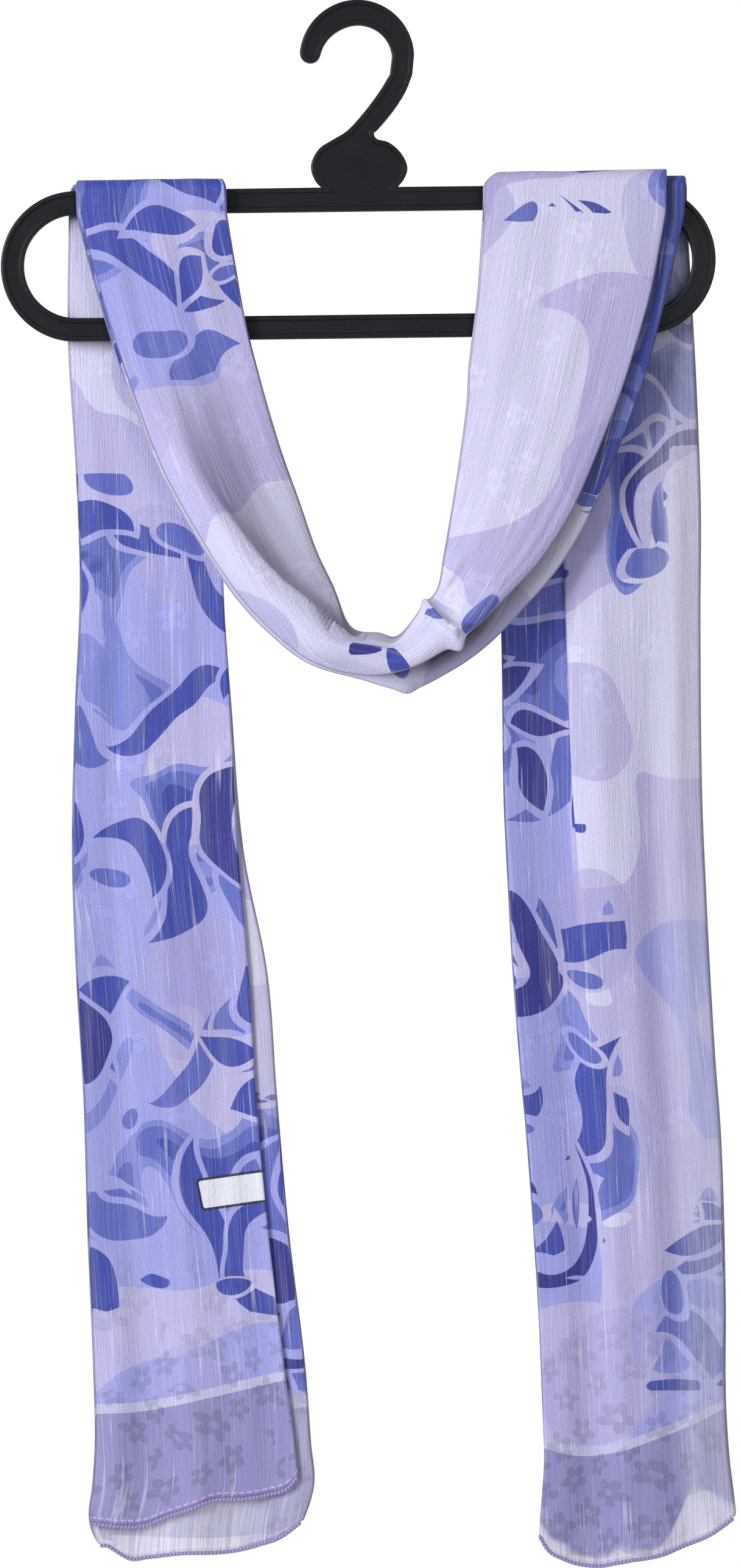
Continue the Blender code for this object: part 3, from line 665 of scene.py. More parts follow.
# Painted shade inside the hollow under the front fold: how dark it is at each place.
HOLLOW_SHADE = ramp(((9.0, 0.0), (10.2, 0.7), (10.8, 1.5), (11.9, 1.5), (12.8, 1.0), (14.0, 0.8),
                     (21.0, 0.8)))
# The layers that are shaded there, and how much of the shade reaches the outer edge.
SHADED_LAYERS = (0.3, 0.9, 1.3, 1.75)
EDGE_SHADE = 0.16
# The shade inside the left limb's long fold: places, millimetres past the tuck, and how dark it is.
FOLD_SHADE_PLACES, FOLD_SHADE_ACROSS, FOLD_SHADE = (2.0, 4.4, 7.8, 9.2), (-3.0, 5.0, 8.0, 58.0), 0.72
# The part behind the right limb that is printed all over: its layers and places.
SOLID_LAYERS, SOLID_PLACES, SOLID_PRINT = (1.7, 1.2), (14.6, 15.6), 2.0
# The strip along the inner edge that has no print, round the bottom: shares and places.
BARE_SHARES, BARE_PLACES = (0.85, 0.95), (7.4, 8.0, 11.4, 12.0)
# Shares over which the front fold stands off, and the inner edge is set back or drawn out.
STAND_OFF_SHARES, INNER_SHARES = (0.05, 0.62), (0.55, 1.0)
# What stands for the height over a hem where there is none.
NO_HEM = 900.0
# Rows from shoulder to shoulder, and the places between which there are twice as many.
FRONT_ROWS = 212
PINCH_START, PINCH_END = 10.6, 12.2


def bar_path():
    """The way over the bar from front to back: y, height from the bar's top, direction out."""
    corner = BAR_BEND + BAR_CLEARANCE + WALL / 2
    flat = THICKNESS / 2 - BAR_BEND
    turns = [math.radians(90 * i / BEND_STEPS) for i in range(BEND_STEPS + 1)]
    front = [(-flat - corner * math.cos(t), corner * math.sin(t) - BAR_BEND, t) for t in turns]
    path = [(y, rise, Vector((0.0, -math.cos(t), math.sin(t)))) for y, rise, t in front]
    return path + [(-y, rise, Vector((0.0, -out.y, out.z))) for y, rise, out in reversed(path)]


def swag_section(place):
    """The loop's section at a place in its table."""
    row = {field: line(place) for field, line in SWAG_LINE.items()}
    return Section(
        outer=Vector((row["outer_x"], -INNER_FACE_Y, row["outer_z"])),
        inner=Vector((row["inner_x"], -INNER_FACE_Y, row["inner_z"])),
        out=Vector((0.0, -1.0, 0.0)),
        pitch=row["pitch"],
        first_in=row["front_in"],
        last_in=BACK_LAYER_IN,
        wave=lambda share: 4.0 * row["cup"] * share * (1.0 - share)
        - row["dip"] * math.exp(-((share - row["dip_at"]) / DIP_WIDTH) ** 2),
    )


def shoulder_sections(front, tail_top, facet):
    """Sections over the bar, from the seam behind to the front, with the inner edge drawn in on top."""
    outer_x, inner_x = tail_top
    path = list(reversed(bar_path()))
    steps = len(path) + 1
    sections = []
    for index in range(steps):
        share = index / steps
        x0, x1 = lerp(outer_x, front.outer.x, share), lerp(inner_x, front.inner.x, share)
        if index == 0:
            y, out = path[0][0], path[0][2]
            heights = (SEAM_Z, SEAM_Z)
        else:
            y, rise, out = path[index - 1]
            heights = (bar_top(x0) + rise, bar_top(x1) + rise)
            x1 += facet * clamp(out.z) ** 2
        sections.append(front._replace(outer=Vector((x0, y, heights[0])),
                                       inner=Vector((x1, y, heights[1])), out=out,
                                       wave=lambda share: 0.0))
    return sections


def swag_stations():
    """Every section of the loop with its place in the table, past both ends over the shoulders, and
    closer together where the cloth is pinched."""
    left_top = (LEFT_TAIL[0].outer, LEFT_TAIL[0].back_inner)
    right_top = (RIGHT_TAIL[0].outer, RIGHT_TAIL[0].back_inner)
    left = shoulder_sections(swag_section(0.0), left_top, LEFT_FACET)
    right = list(reversed(shoulder_sections(swag_section(LAST_PLACE), right_top, RIGHT_FACET)))
    stations = [(-1.0 + i / len(left), section) for i, section in enumerate(left)]
    for row in range(FRONT_ROWS + 1):
        place = LAST_PLACE * row / FRONT_ROWS
        stations.append((place, swag_section(place)))
        if PINCH_START < place < PINCH_END:
            halfway = place + 0.5 * LAST_PLACE / FRONT_ROWS
            stations.append((halfway, swag_section(halfway)))
    stations += [(LAST_PLACE + (i + 1) / len(right), section) for i, section in enumerate(right)]
    return stations


def way_along(sections):
    """How far each section is along the middle of the top layer, in millimetres."""
    return travelled([(s.outer + s.inner) / 2 + s.out * 2 * s.pitch for s in sections])


SWAG_STATIONS = swag_stations()
SWAG_WAY = way_along([section for place, section in SWAG_STATIONS])
WAY_PER_PLACE = SWAG_WAY[-1] / (LAST_PLACE + 2)
# Amounts of dark print and of ground colour along the loop: place in its table and amount.
SWAG_PRINT = ramp(((-1.0, 1.3), (1.2, 1.25), (2.4, 0.9), (3.2, 0.3), (3.6, 0.0), (7.6, 0.0),
                   (8.6, 0.46), (11.0, 0.46), (12.6, 0.4), (14.4, 0.0), (19.0, 0.0),
                   (20.2, 0.6), (21.0, 0.9)))
SWAG_TONE = ramp(((-1.0, 0.95), (1.0, 0.9), (2.4, 0.64), (3.2, 0.42), (6.0, 0.38), (8.4, 0.52),
                  (10.5, 0.56), (13.0, 0.42), (15.0, 0.34), (19.0, 0.3), (20.0, 0.5), (21.0, 0.7)))


def drawn_out(place, share, front):
    """How far a point of the loop slides across, where a corner is drawn out of an edge."""
    slide = 0.0
    for corner in CORNERS:
        near = math.exp(-((place - corner.place) / corner.spread) ** 2)
        side = ease(INNER_SHARES, share) if corner.inner else -ease(INNER_SHARES, 1.0 - share)
        slide += corner.reach * near * side * (front if corner.front else 1.0 - front)
    return slide


def swag_paint(place, share, line, width):
    """How the loop's cloth is painted at a place."""
    solid = ease(SOLID_LAYERS, line.layer) * ease(SOLID_PLACES, place)
    bare = ease(BARE_SHARES, line.share) * between(BARE_PLACES, place)
    past_tuck = (share - SWAG_TUCK_LINE["share"](place)) * width
    # Painted shade: fold darkens the left limb's long fold and under darkens the hollow under the front
    # fold; both go out as the depth paint.
    fold = between(FOLD_SHADE_PLACES, place) * between(FOLD_SHADE_ACROSS, past_tuck) * line.top
    under = between(SHADED_LAYERS, line.layer) * HOLLOW_SHADE(place)
    under *= lerp(EDGE_SHADE, 1.0, smoothstep(0.0, SWAG_LINE["front_in"](place), share * width))
    return {
        "print": lerp(SWAG_PRINT(place), SOLID_PRINT, solid) * (1.0 - bare),
        "tone": SWAG_TONE(place),
        "sheer": 0.0,
        "depth": max(under, fold * FOLD_SHADE),
        "over_band": NO_HEM,
        "over_hem": NO_HEM,
    }


def swag_point(row, line):
    """Where a point of the loop's cloth lies, where it is on the flat cloth, and how it is painted."""
    index = round(row * (len(SWAG_STATIONS) - 1))
    place, section = SWAG_STATIONS[index]
    width = (section.inner - section.outer).length
    share, lift, slide = line.share, 0.0, 0.0
    if line.top > 0.0:
        share = spread(line.share, SWAG_TUCK_LINE["share"](place), FOCUS_HALF_WIDTH / width)
        lift, slide = tuck_shape(SWAG_TUCK_LINE, place, share, width)
        lift += crease_height(SWAG_CREASES, place, share, width, WAY_PER_PLACE)
        lift += HOLLOW(place) * (1.0 - ease(STAND_OFF_SHARES, share))
        slide -= INNER_SET_BACK(place) * ease(INNER_SHARES, share)
        lift, slide = lift * line.top, slide * line.top
    elif line.bottom > 0.0:
        height = crease_height(SWAG_BACK_CREASES, place, share, width, WAY_PER_PLACE)
        lift = -line.bottom * height
    slide += drawn_out(place, share, line.top)
    point, across = on_ribbon(section, line, share, lift, slide)
    flat = ((across + line.layer * LAYER_U) * MM, SWAG_WAY[index] * MM)
    return point, flat, swag_paint(place, share, line, width)


# ---- the tails ---------------------------------------------------------------------------------
class TailForm:
    """One tail: its tables as smooth lines, and how it hangs."""

    def __init__(self, rows, hems, pitch, creases, back_creases, pleated):
        self.edge = curves(rows, "z")
        self.hems = [Curve(hem) for hem in hems]
        self.first_hem_z = hems[0][0][1]
        self.pitch = pitch
        self.creases = creases
        self.back_creases = back_creases
        self.pleated = pleated

    def hem_z(self, share, layer):
        """Height of the hem on a line of the ribbon, between two layers in a fold."""
        outer = self.edge["outer"](self.first_hem_z)
        inner = self.edge["front_inner" if layer < 0.5 else "back_inner"](self.first_hem_z)
        lower = min(int(layer), len(self.hems) - 2)
        x = lerp(outer, inner, share)
        return lerp(self.hems[lower](x), self.hems[lower + 1](x), layer - lower)

    def wave(self, share, z):
        """How far the ribbon stands out from its plane, at a share of its width."""
        height = WAVE_DEPTH * ease(WAVE_Z, z) * (1.0 - math.cos(math.tau * WAVE_COUNT * share)) / 2
        if self.pleated:
            height += PLEAT_DEPTH * (1.0 - ease(PLEAT_FADE_Z, z)) * ease(PLEAT_SHARES, share)
        return height

    def section(self, z):
        """The tail's section at a height."""
        row = {field: line(z) for field, line in self.edge.items()}
        direction = 1.0 if row["back_inner"] > row["outer"] else -1.0
        return Section(
            outer=Vector((row["outer"], INNER_FACE_Y, z)),
            inner=Vector((row["back_inner"], INNER_FACE_Y, z)),
            out=Vector((0.0, 1.0, 0.0)),
            pitch=self.pitch,
            first_in=BACK_LAYER_IN,
            last_in=(row["back_inner"] - row["front_inner"]) * direction,
            wave=lambda share: self.wave(share, z),
        )

    def point(self, row, line):
        """A point of the tail in millimetres, its place across, its height and the hem's."""
        hem = self.hem_z(line.share, line.layer)
        z = lerp(SEAM_Z, hem, row)
        section = self.section(z)
        width = (section.inner - section.outer).length
        share, lift, slide = line.share, 0.0, 0.0
        if line.bottom > 0.0:
            if self.pleated:
                half = FOCUS_HALF_WIDTH / width
                share = spread(line.share, PLEAT_LINE["share"](z), half)
                tucked, slide = tuck_shape(PLEAT_LINE, z, share, width)
                lift -= tucked
            lift -= crease_height(self.creases, z, share, width, 1.0)
            lift, slide = lift * line.bottom, slide * line.bottom
        elif line.top > 0.0:
            lift = crease_height(self.back_creases, z, share, width, 1.0) * line.top
        point, across = on_ribbon(section, line, share, lift, slide)
        return point, across, z, hem


PLEAT_LINE = curves(PLEAT_TUCK, "place")
TAIL_ROWS = 232
TAIL_LINES = ribbon_lines(34, 22, 66)
LEFT_FORM = TailForm(LEFT_TAIL, LEFT_HEMS, PITCH, LEFT_CREASES, LEFT_BACK_CREASES, False)
RIGHT_FORM = TailForm(RIGHT_TAIL, RIGHT_HEMS, SWAG[-1].pitch, RIGHT_CREASES, RIGHT_BACK_CREASES, True)
# Amount of print and tone of the ground down the tails: height and amount. The right tail has one
# table for each part of its width that is printed.
LEFT_PRINT = ramp(((-85.0, 0.5), (-100.0, 0.0), (-190.0, 0.0), (-215.0, 0.7), (-240.0, 1.12),
                   (-540.0, 1.12), (-575.0, 0.6), (-592.0, 0.1), (-612.0, 0.0), (-700.0, 0.0)))
LEFT_TONE = ramp(((-85.0, 0.5), (-120.0, 0.38), (-175.0, 0.42), (-215.0, 0.74), (-250.0, 0.92),
                  (-540.0, 0.94), (-590.0, 0.84), (-700.0, 0.8)))
BACK_PRINT = ramp(((-85.0, 0.5), (-470.0, 0.0), (-490.0, 0.9), (-505.0, 1.66), (-612.0, 1.66),
                   (-624.0, 0.3), (-632.0, 0.0), (-700.0, 0.0)))
UPPER_PRINT = ramp(((-85.0, 1.5), (-215.0, 1.4), (-270.0, 0.2), (-276.0, 0.0), (-700.0, 0.0)))
STRIP_PRINT = ramp(((-85.0, 1.5), (-250.0, 1.5), (-330.0, 1.3), (-380.0, 1.12), (-540.0, 1.1),
                    (-575.0, 0.3), (-600.0, 0.0), (-700.0, 0.0)))
FAN_PRINT = ramp(((-85.0, 0.0), (-350.0, 0.0), (-372.0, 0.8), (-400.0, 1.1), (-540.0, 1.1),
                  (-575.0, 0.4), (-595.0, 0.0), (-700.0, 0.0)))
CORNER_PRINT = ramp(((-85.0, 0.0), (-515.0, 0.0), (-545.0, 1.05), (-605.0, 1.05), (-628.0, 0.0),
                     (-700.0, 0.0)))
RIGHT_TONE = ramp(((-85.0, 0.8), (-240.0, 0.6), (-300.0, 0.42), (-360.0, 0.46), (-420.0, 0.62),
                   (-540.0, 0.62), (-600.0, 0.7), (-700.0, 0.72)))
# The upper edge of the band along each hem, x and z, and how much lower it is on each layer behind.
LEFT_BAND_TOP = Curve(((-128.0, -625.9), (-119.4, -625.5), (-97.1, -624.4), (-70.1, -618.9),
                       (-33.3, -610.4), (-20.0, -607.5)))
RIGHT_BAND_TOP = Curve(((76.0, -637.5), (81.4, -640.1), (99.6, -644.7), (115.8, -643.1),
                        (132.0, -637.9), (148.2, -631.8), (165.6, -622.7), (173.0, -618.0)))
LAYER_BAND_DROP = 14.0
# How the layers behind are painted on the left tail: the layers that count as behind, the heights
# and shares where their edge lets light through, and the heights where one layer is left.
BEHIND_LAYERS, LOW_Z, EDGE_SHARES, SINGLE_Z = (0.2, 0.9), (-360.0, -430.0), (0.72, 0.9), (-650.0, -660.0)
BEHIND_TONE, TONE_WITH_PRINT = 0.5, 0.35
EDGE_SHEER, SHEER_WITH_PRINT, SINGLE_SHEER_LESS = 0.5, 0.3, 0.75
# The parts of the right tail's width, as shares, and the heights where some of them start or end.
STRIP_SHARES, STRIP_TONE, STRIP_TONE_Z = (0.60, 0.68), 0.9, (-600.0, -560.0)
UPPER_SHARES, UPPER_Z, FAN_SHARES = (0.06, 0.18), (-205.0, -165.0), (0.26, 0.40)
CORNER_SHARES, THIN_SHARES, THIN_SHEER = (0.50, 0.36), (0.26, 0.08), 0.5
SINGLE_EDGE, SINGLE_SHEER = (1.0, -1.0), 0.85


def tail_points(form, band_top, flat_v, paint):
    """Makes the function that says where a point of a tail lies, where it is on the flat cloth, and
    how it is painted."""
    def place_of(row, line):
        point, across, z, hem = form.point(row, line)
        values = {
            **paint(line, z, z - hem),
            # The tails get no painted shade.
            "depth": 0.0,
            "over_band": z - band_top(point.x) + line.layer * LAYER_BAND_DROP,
            "over_hem": z - hem,
        }
        return point, ((across + line.layer * LAYER_U) * MM, flat_v(z) * MM), values
    return place_of


def left_paint(line, z, _):
    """Print, tone and sheerness of the left tail."""
    back, behind, edge = BACK_PRINT(z), ease(BEHIND_LAYERS, line.layer), ease(EDGE_SHARES, line.share)
    through_edge = ease(LOW_Z, z) * edge * (EDGE_SHEER - SHEER_WITH_PRINT * back)
    through_end = ease(SINGLE_Z, z) * (1.0 - edge * SINGLE_SHEER_LESS)
    return {
        "print": lerp(LEFT_PRINT(z), back, behind),
        "tone": lerp(LEFT_TONE(z), BEHIND_TONE + TONE_WITH_PRINT * back, behind),
        "sheer": behind * max(through_edge, through_end),
    }


def single_layer(share):
    """How far up from the right hem there is only one layer, so that the cloth is pale there."""
    return 4.5 + 1.6 * math.sin(15.0 * share) + 19.0 * math.exp(-((share - 0.15) / 0.10) ** 2)


def right_paint(line, z, over_hem):
    """Print, tone and sheerness of the right tail, whose last stretch over the hem is one layer."""
    strip = ease(STRIP_SHARES, line.share)
    upper = max(ease(UPPER_SHARES, line.share), ease(UPPER_Z, z))
    single = ease(SINGLE_EDGE, over_hem - single_layer(line.share))
    return {
        "print": max(UPPER_PRINT(z) * upper, STRIP_PRINT(z) * strip,
                     FAN_PRINT(z) * ease(FAN_SHARES, line.share),
                     CORNER_PRINT(z) * ease(CORNER_SHARES, line.share)),
        "tone": lerp(RIGHT_TONE(z), STRIP_TONE, strip * ease(STRIP_TONE_Z, z)),
        "sheer": max(SINGLE_SHEER * single, THIN_SHEER * ease(THIN_SHARES, line.share)),
    }


left_point = tail_points(LEFT_FORM, LEFT_BAND_TOP, lambda z: z - SEAM_Z, left_paint)
right_point = tail_points(RIGHT_FORM, RIGHT_BAND_TOP, lambda z: SWAG_WAY[-1] - z + SEAM_Z, right_paint)


# ---- the hems ----------------------------------------------------------------------------------
HEM_RADIUS = 0.85
HEM_END = 0.55
HEM_SINK = 0.35
STITCH_PITCH, STITCH_BUMP = 1.7, 0.16
HEM_SIDES = 12
HEM_STEPS = 230


def hem_mesh(name, form, layer):
    """A rolled edge with the bumps of its overlock stitches, along the end of one layer."""
    places = []
    for i in range(HEM_STEPS + 1):
        line = Line(layer, i / HEM_STEPS, 0.0, 0.0, float(layer == 0))
        point, *_ = form.point(1.0, line)
        places.append(point + Vector((0.0, 0.0, -(HEM_RADIUS - HEM_SINK))))
    way = travelled(places)
    work = bmesh.new()
    bmesh.ops.create_grid(work, x_segments=HEM_STEPS, y_segments=HEM_SIDES, size=1.0)
    uvs = {}
    for vert in work.verts:
        index = round((vert.co.x + 1) / 2 * HEM_STEPS)
        turn = math.pi * (vert.co.y + 1)
        before, after = places[max(index - 1, 0)], places[min(index + 1, HEM_STEPS)]
        tangent = (after - before).normalized()
        side = tangent.cross(Vector((0.0, 1.0, 0.0))).normalized()
        up = tangent.cross(side)
        stitch = math.sin(math.tau * way[index] / STITCH_PITCH + turn)
        ending = HEM_END if index in (0, HEM_STEPS) else 1.0
        radius = HEM_RADIUS * ending * (1.0 + STITCH_BUMP * stitch)
        uvs[vert.index] = (way[index] * MM, turn)
        vert.co = (places[index] + (side * math.cos(turn) + up * math.sin(turn)) * radius) * MM
    set_flat_places(work, "hem", uvs)
    bmesh.ops.remove_doubles(work, verts=work.verts, dist=HEM_MERGE)
    bmesh.ops.holes_fill(work, edges=[edge for edge in work.edges if edge.is_boundary], sides=0)
    bmesh.ops.recalc_face_normals(work, faces=work.faces)
    mesh = finished_mesh(name, work)
    mesh.shade_smooth()
    return mesh


# ---- shader helpers ----------------------------------------------------------------------------
def arithmetic(operation, backwards=False):
    """An arithmetic method that makes a node, with the field on the left or the right of it."""
    def method(self, other):
        return self.finish.calc(operation, *((other, self) if backwards else (self, other)))
    return method


class Field:
    """A value that varies over a surface: an output of a shader node, with the usual arithmetic."""

    def __init__(self, finish, socket):
        self.finish, self.socket = finish, socket

    __add__, __radd__ = arithmetic("ADD"), arithmetic("ADD", True)
    __sub__, __rsub__ = arithmetic("SUBTRACT"), arithmetic("SUBTRACT", True)
    __mul__, __rmul__ = arithmetic("MULTIPLY"), arithmetic("MULTIPLY", True)
    __truediv__ = arithmetic("DIVIDE")

    def __abs__(self):
        return self.finish.calc("ABSOLUTE", self)


class Finish:
    """A material, with short ways to make the nodes of its pattern."""

    def __init__(self, name):
        self.material = bpy.data.materials.new(name)
        self.material.use_nodes = True
        self.tree = self.material.node_tree
        self.shader = self.tree.nodes["Principled BSDF"]
        self.shader.location = (400, 300)
        self.tree.nodes["Material Output"].location = (700, 300)
        self.made = 0

    def node(self, kind, inputs=(), **settings):
        """A new node with these inputs and settings, laid out in columns of six."""
        node = self.tree.nodes.new(kind)
        node.location = (-180 * (self.made // 6) + 100, -170 * (self.made % 6))
        self.made += 1
        for key, value in settings.items():
            setattr(node, key, value)
        for key, value in dict(inputs).items():
            self.feed(node.inputs[key], value)
        return node

    def feed(self, socket, value):
        if isinstance(value, Field):
            self.tree.links.new(value.socket, socket)
        else:
            socket.default_value = value

    def field(self, node, output=0):
        return Field(self, node.outputs[output])

    def calc(self, operation, *values, limited=False):
        """A number worked out from others, between 0 and 1 if it is limited."""
        inputs = dict(enumerate(values))
        return self.field(self.node("ShaderNodeMath", inputs, operation=operation, use_clamp=limited))

    def above(self, value, edge=0.0, soft=0.25):
        """0 where value is under edge, 1 where it is over it, with a soft step in between."""
        return self.calc("ADD", (value - edge) / soft, 0.5, limited=True)

    def mix(self, amount, low, high):
        """A colour between two others."""
        node = self.node("ShaderNodeMix", data_type="RGBA")
        self.feed(node.inputs["Factor"], amount)
        for key, value in (("A", low), ("B", high)):
            socket = next(s for s in node.inputs if s.name == key and s.type == "RGBA")
            self.feed(socket, value)
        return Field(self, next(s for s in node.outputs if s.type == "RGBA"))

    def vector(self, x, y, z=0.0):
        return self.field(self.node("ShaderNodeCombineXYZ", {0: x, 1: y, 2: z}))

    def parts(self, vector):
        node = self.node("ShaderNodeSeparateXYZ", {0: vector})
        return [self.field(node, i) for i in range(3)]

    def turned(self, vector, angle):
        """The two numbers of a place that is turned round the middle."""
        node = self.node("ShaderNodeVectorRotate", {"Vector": vector, "Angle": angle},
                         rotation_type="Z_AXIS")
        return self.parts(self.field(node))[:2]

    def noise(self, x, y, detail, distortion=0.0):
        inputs = {"Vector": self.vector(x, y), "Scale": 1.0, "Detail": detail, "Distortion": distortion}
        return self.field(self.node("ShaderNodeTexNoise", inputs, noise_dimensions="2D"), "Fac")

    def grain(self, u, v, grain):
        """A noise that repeats so often for each millimetre across and along."""
        across, along, detail = grain
        return self.noise(u * across, v * along, detail)

    def solid_noise(self, scale, detail):
        """A noise through the whole of a solid, in turns per metre."""
        place = self.field(self.node("ShaderNodeTexCoord"), "Object")
        inputs = {"Vector": place, "Scale": scale, "Detail": detail}
        return self.field(self.node("ShaderNodeTexNoise", inputs))

    def flat_place(self, name):
        return self.parts(self.field(self.node("ShaderNodeUVMap", uv_map=name), "UV"))[:2]

    def surface(self, values):
        """Sets inputs of the shader, each to a field or a plain number."""
        for key, value in values.items():
            self.feed(self.shader.inputs[key], value)

    def bump(self, height, distance, strength=1.0):
        """Gives the surface relief, its height in metres for each 1 of the field."""
        inputs = {"Height": height, "Distance": distance, "Strength": strength}
        self.surface({"Normal": self.field(self.node("ShaderNodeBump", inputs), "Normal")})

    def scattered(self, u, v, cell, seed, jitter):
        """Cuts the cloth into cells and gives, in each, a turned place from a shifted middle, and
        two numbers of the cell's own."""
        cell_u, cell_v = self.calc("FLOOR", u / cell), self.calc("FLOOR", v / cell)
        white = self.node("ShaderNodeTexWhiteNoise", {"Vector": self.vector(cell_u, cell_v, seed)},
                          noise_dimensions="3D")
        shift_u, shift_v, turn = self.parts(self.field(white, "Color"))
        local = self.vector(u - (cell_u + 0.5) * cell - (shift_u - 0.5) * jitter,
                            v - (cell_v + 0.5) * cell - (shift_v - 0.5) * jitter)
        return *self.turned(local, turn * math.tau), self.field(white, "Value"), turn

    def polar(self, x, y):
        """Distance from the middle, and angle round it."""
        radius = self.calc("SQRT", x * x + y * y)
        return radius, self.calc("ARCTAN2", y, x)


def rgb(text):
    """A linear colour from its usual six-digit name."""
    levels = [int(text[i:i + 2], 16) / 255 for i in (0, 2, 4)]
    return (*(c / 12.92 if c <= 0.04045 else ((c + 0.055) / 1.055) ** 2.4 for c in levels), 1.0)


# ---- the cloth's finish ------------------------------------------------------------------------
NAVY, ROYAL, MID_BLUE, SOFT_BLUE = rgb("2e308a"), rgb("3a47a8"), rgb("5c67bd"), rgb("7c85d2")
PERIWINKLE, LILAC, DISC_LILAC, PALE = rgb("9da0e1"), rgb("b9b4e3"), rgb("a8a2d8"), rgb("d3d1f0")
# The near-white of pale threads and of painted gleam, painted glints and the painted glow of light
# through sheer cloth; then the tint of the shader's own sheen.
PALE_THREAD_AND_GLEAM, SHEEN_TINT = rgb("f3f3ff"), (0.86, 0.86, 1.0, 1.0)
BAND_LILAC, PALE_LINE, STITCH_PINK = rgb("8e8bc1"), rgb("c0bee2"), rgb("cfa9de")
PLATE_WHITE, PLATE_EDGE = rgb("e4e5f2"), rgb("20213f")
# Each kind of motif stands in square cells of its own, in millimetres; the strokes, but not the
# discs and the blossoms, are then drawn so many times larger.
MOTIF_SCALE = 1.22
MOTIF_CELL, CRESCENT_CELL, FLOURISH_CELL, DROP_CELL = 88.0, 57.0, 61.0, 30.0
DISC_CELL, BLOSSOM_CELL = 96.0, 16.0
# How large each motif is, how wide its strokes are at their widest, and how fast they narrow.
SCROLL_PITCH, SCROLL_REACH, SCROLL_HALF, SCROLL_TAPER, SCROLL_BUD = 32.0, 42.0, 7.6, 10.6, 7.4
FAN_LEAVES, FAN_START, FAN_LEAF, FAN_TWIST, FAN_SHAPE, FAN_BUD = 7, 10.0, 31.0, 0.013, 0.8, 6.6
LEAF_HALF, LEAF_LESS, THINNEST = 8.8, 3.2, -4.0
CRESCENT_RADIUS, CRESCENT_HALF, CRESCENT_LESS = 16.0, 9.2, 2.8
FLOURISH_REACH, FLOURISH_BEND, FLOURISH_HALF, FLOURISH_TAPER = 36.0, 9.0, 5.0, 8.0
DROP_HALF, DROP_MORE = 2.8, 2.0
PETALS, PETAL_AT, PETAL_LENGTH, PETAL_WIDTH = 5, 4.0, 2.5, 2.05
BOLDNESS, HIDDEN_DEPTH = 7.0, 5.0
WAVER_SIZE, WAVER = 38.0, 15.0
# The ground's tones change where a broad noise and the tone together pass these levels.
PALE_LEVEL, LILAC_LEVEL, SOLID_LEVEL, TONE_EDGE = 1.0, 1.3, 1.75, 90.0
DISC_SHARE, DISC_STRENGTH = 0.25, 0.55
# Depths inside a patch at which its colour deepens, with those colours.
PATCH_RINGS = ((0.0, SOFT_BLUE), (5.0, MID_BLUE), (13.0, ROYAL))
# Half the width of the pale line along a band, and the row of stitches over the hem.
PALE_LINE_HALF = 2.2
HEM_STITCH_UP, HEM_STITCH_PITCH, HEM_STITCH_HALF = 2.4, 3.4, 0.4
# The bare name plate: its middle on the flat cloth, half its sides, corner radius and turn.
PLATE_U, PLATE_V = 23.0, -441.0
PLATE_HALF_U, PLATE_HALF_V = 17.5, 7.4
PLATE_CORNER = 2.2
PLATE_TURN = math.radians(8.0)
PLATE_RIM = 1.2


def vigour(finish, amount, chance):
    """How boldly a motif is drawn: it is gone where there is less print than its chance."""
    return finish.calc("MULTIPLY", amount - chance, BOLDNESS, limited=True)


def drawn(bold, half, away):
    """Depth inside a stroke of this half width, and far outside it where the stroke isn't drawn."""
    return bold * (half + HIDDEN_DEPTH) - HIDDEN_DEPTH - away


def warped(finish, u, v):
    """The same place with a hand-drawn waver, so that no stroke is quite regular."""
    sway = finish.noise(u / WAVER_SIZE, v / WAVER_SIZE, 1.0)
    swell = finish.noise(u / WAVER_SIZE + 7.3, v / WAVER_SIZE + 2.9, 1.0)
    return u + (sway - 0.5) * WAVER, v + (swell - 0.5) * WAVER


def scrolls_and_fans(finish, u, v, amount):
    """A spiral stroke, or leaves round a bud. Gives the depth inside a stroke and the cell's number."""
    x, y, chance, turn = finish.scattered(u, v, MOTIF_CELL, seed=3.7, jitter=6.0)
    hand = finish.above(turn, 0.5, 0.001) * 2.0 - 1.0
    radius, angle = finish.polar(x, y)
    bold = vigour(finish, amount, chance * 0.7 + 0.22)
    phase = finish.calc("FRACT", radius / SCROLL_PITCH - angle * hand / math.tau + 4.0)
    away = abs(phase - 0.5) * SCROLL_PITCH
    reach = radius / SCROLL_REACH
    half = finish.calc("MAXIMUM", SCROLL_HALF - reach * reach * SCROLL_TAPER, THINNEST)
    scroll = finish.calc("MAXIMUM", drawn(bold, half, away), drawn(bold, SCROLL_BUD, radius))
    sector = finish.calc("FRACT", (angle + radius * FAN_TWIST) * (FAN_LEAVES / math.tau) + 7.5)
    sideways = abs(sector - 0.5) * radius * (math.tau / FAN_LEAVES)
    along = finish.calc("MULTIPLY", radius - FAN_START, 1 / FAN_LEAF, limited=True)
    swell = finish.calc("SINE", finish.calc("POWER", along, FAN_SHAPE) * math.pi)
    half = swell * LEAF_HALF - LEAF_LESS
    fan = finish.calc("MAXIMUM", drawn(bold, half, sideways), drawn(bold, FAN_BUD, radius))
    return scroll + (fan - scroll) * finish.above(chance, 0.6, 0.001), turn


def crescents(finish, u, v, amount):
    """Bowed strokes, thick in the middle."""
    x, y, chance, turn = finish.scattered(u + 44.0, v + 44.0, CRESCENT_CELL, seed=5.1, jitter=8.0)
    radius, angle = finish.polar(x, y)
    bold = vigour(finish, amount, chance * 0.75 + 0.16)
    half = finish.calc("COSINE", angle) * CRESCENT_HALF - CRESCENT_LESS
    half = finish.calc("MAXIMUM", half, THINNEST)
    return drawn(bold, half, abs(radius - CRESCENT_RADIUS)), turn


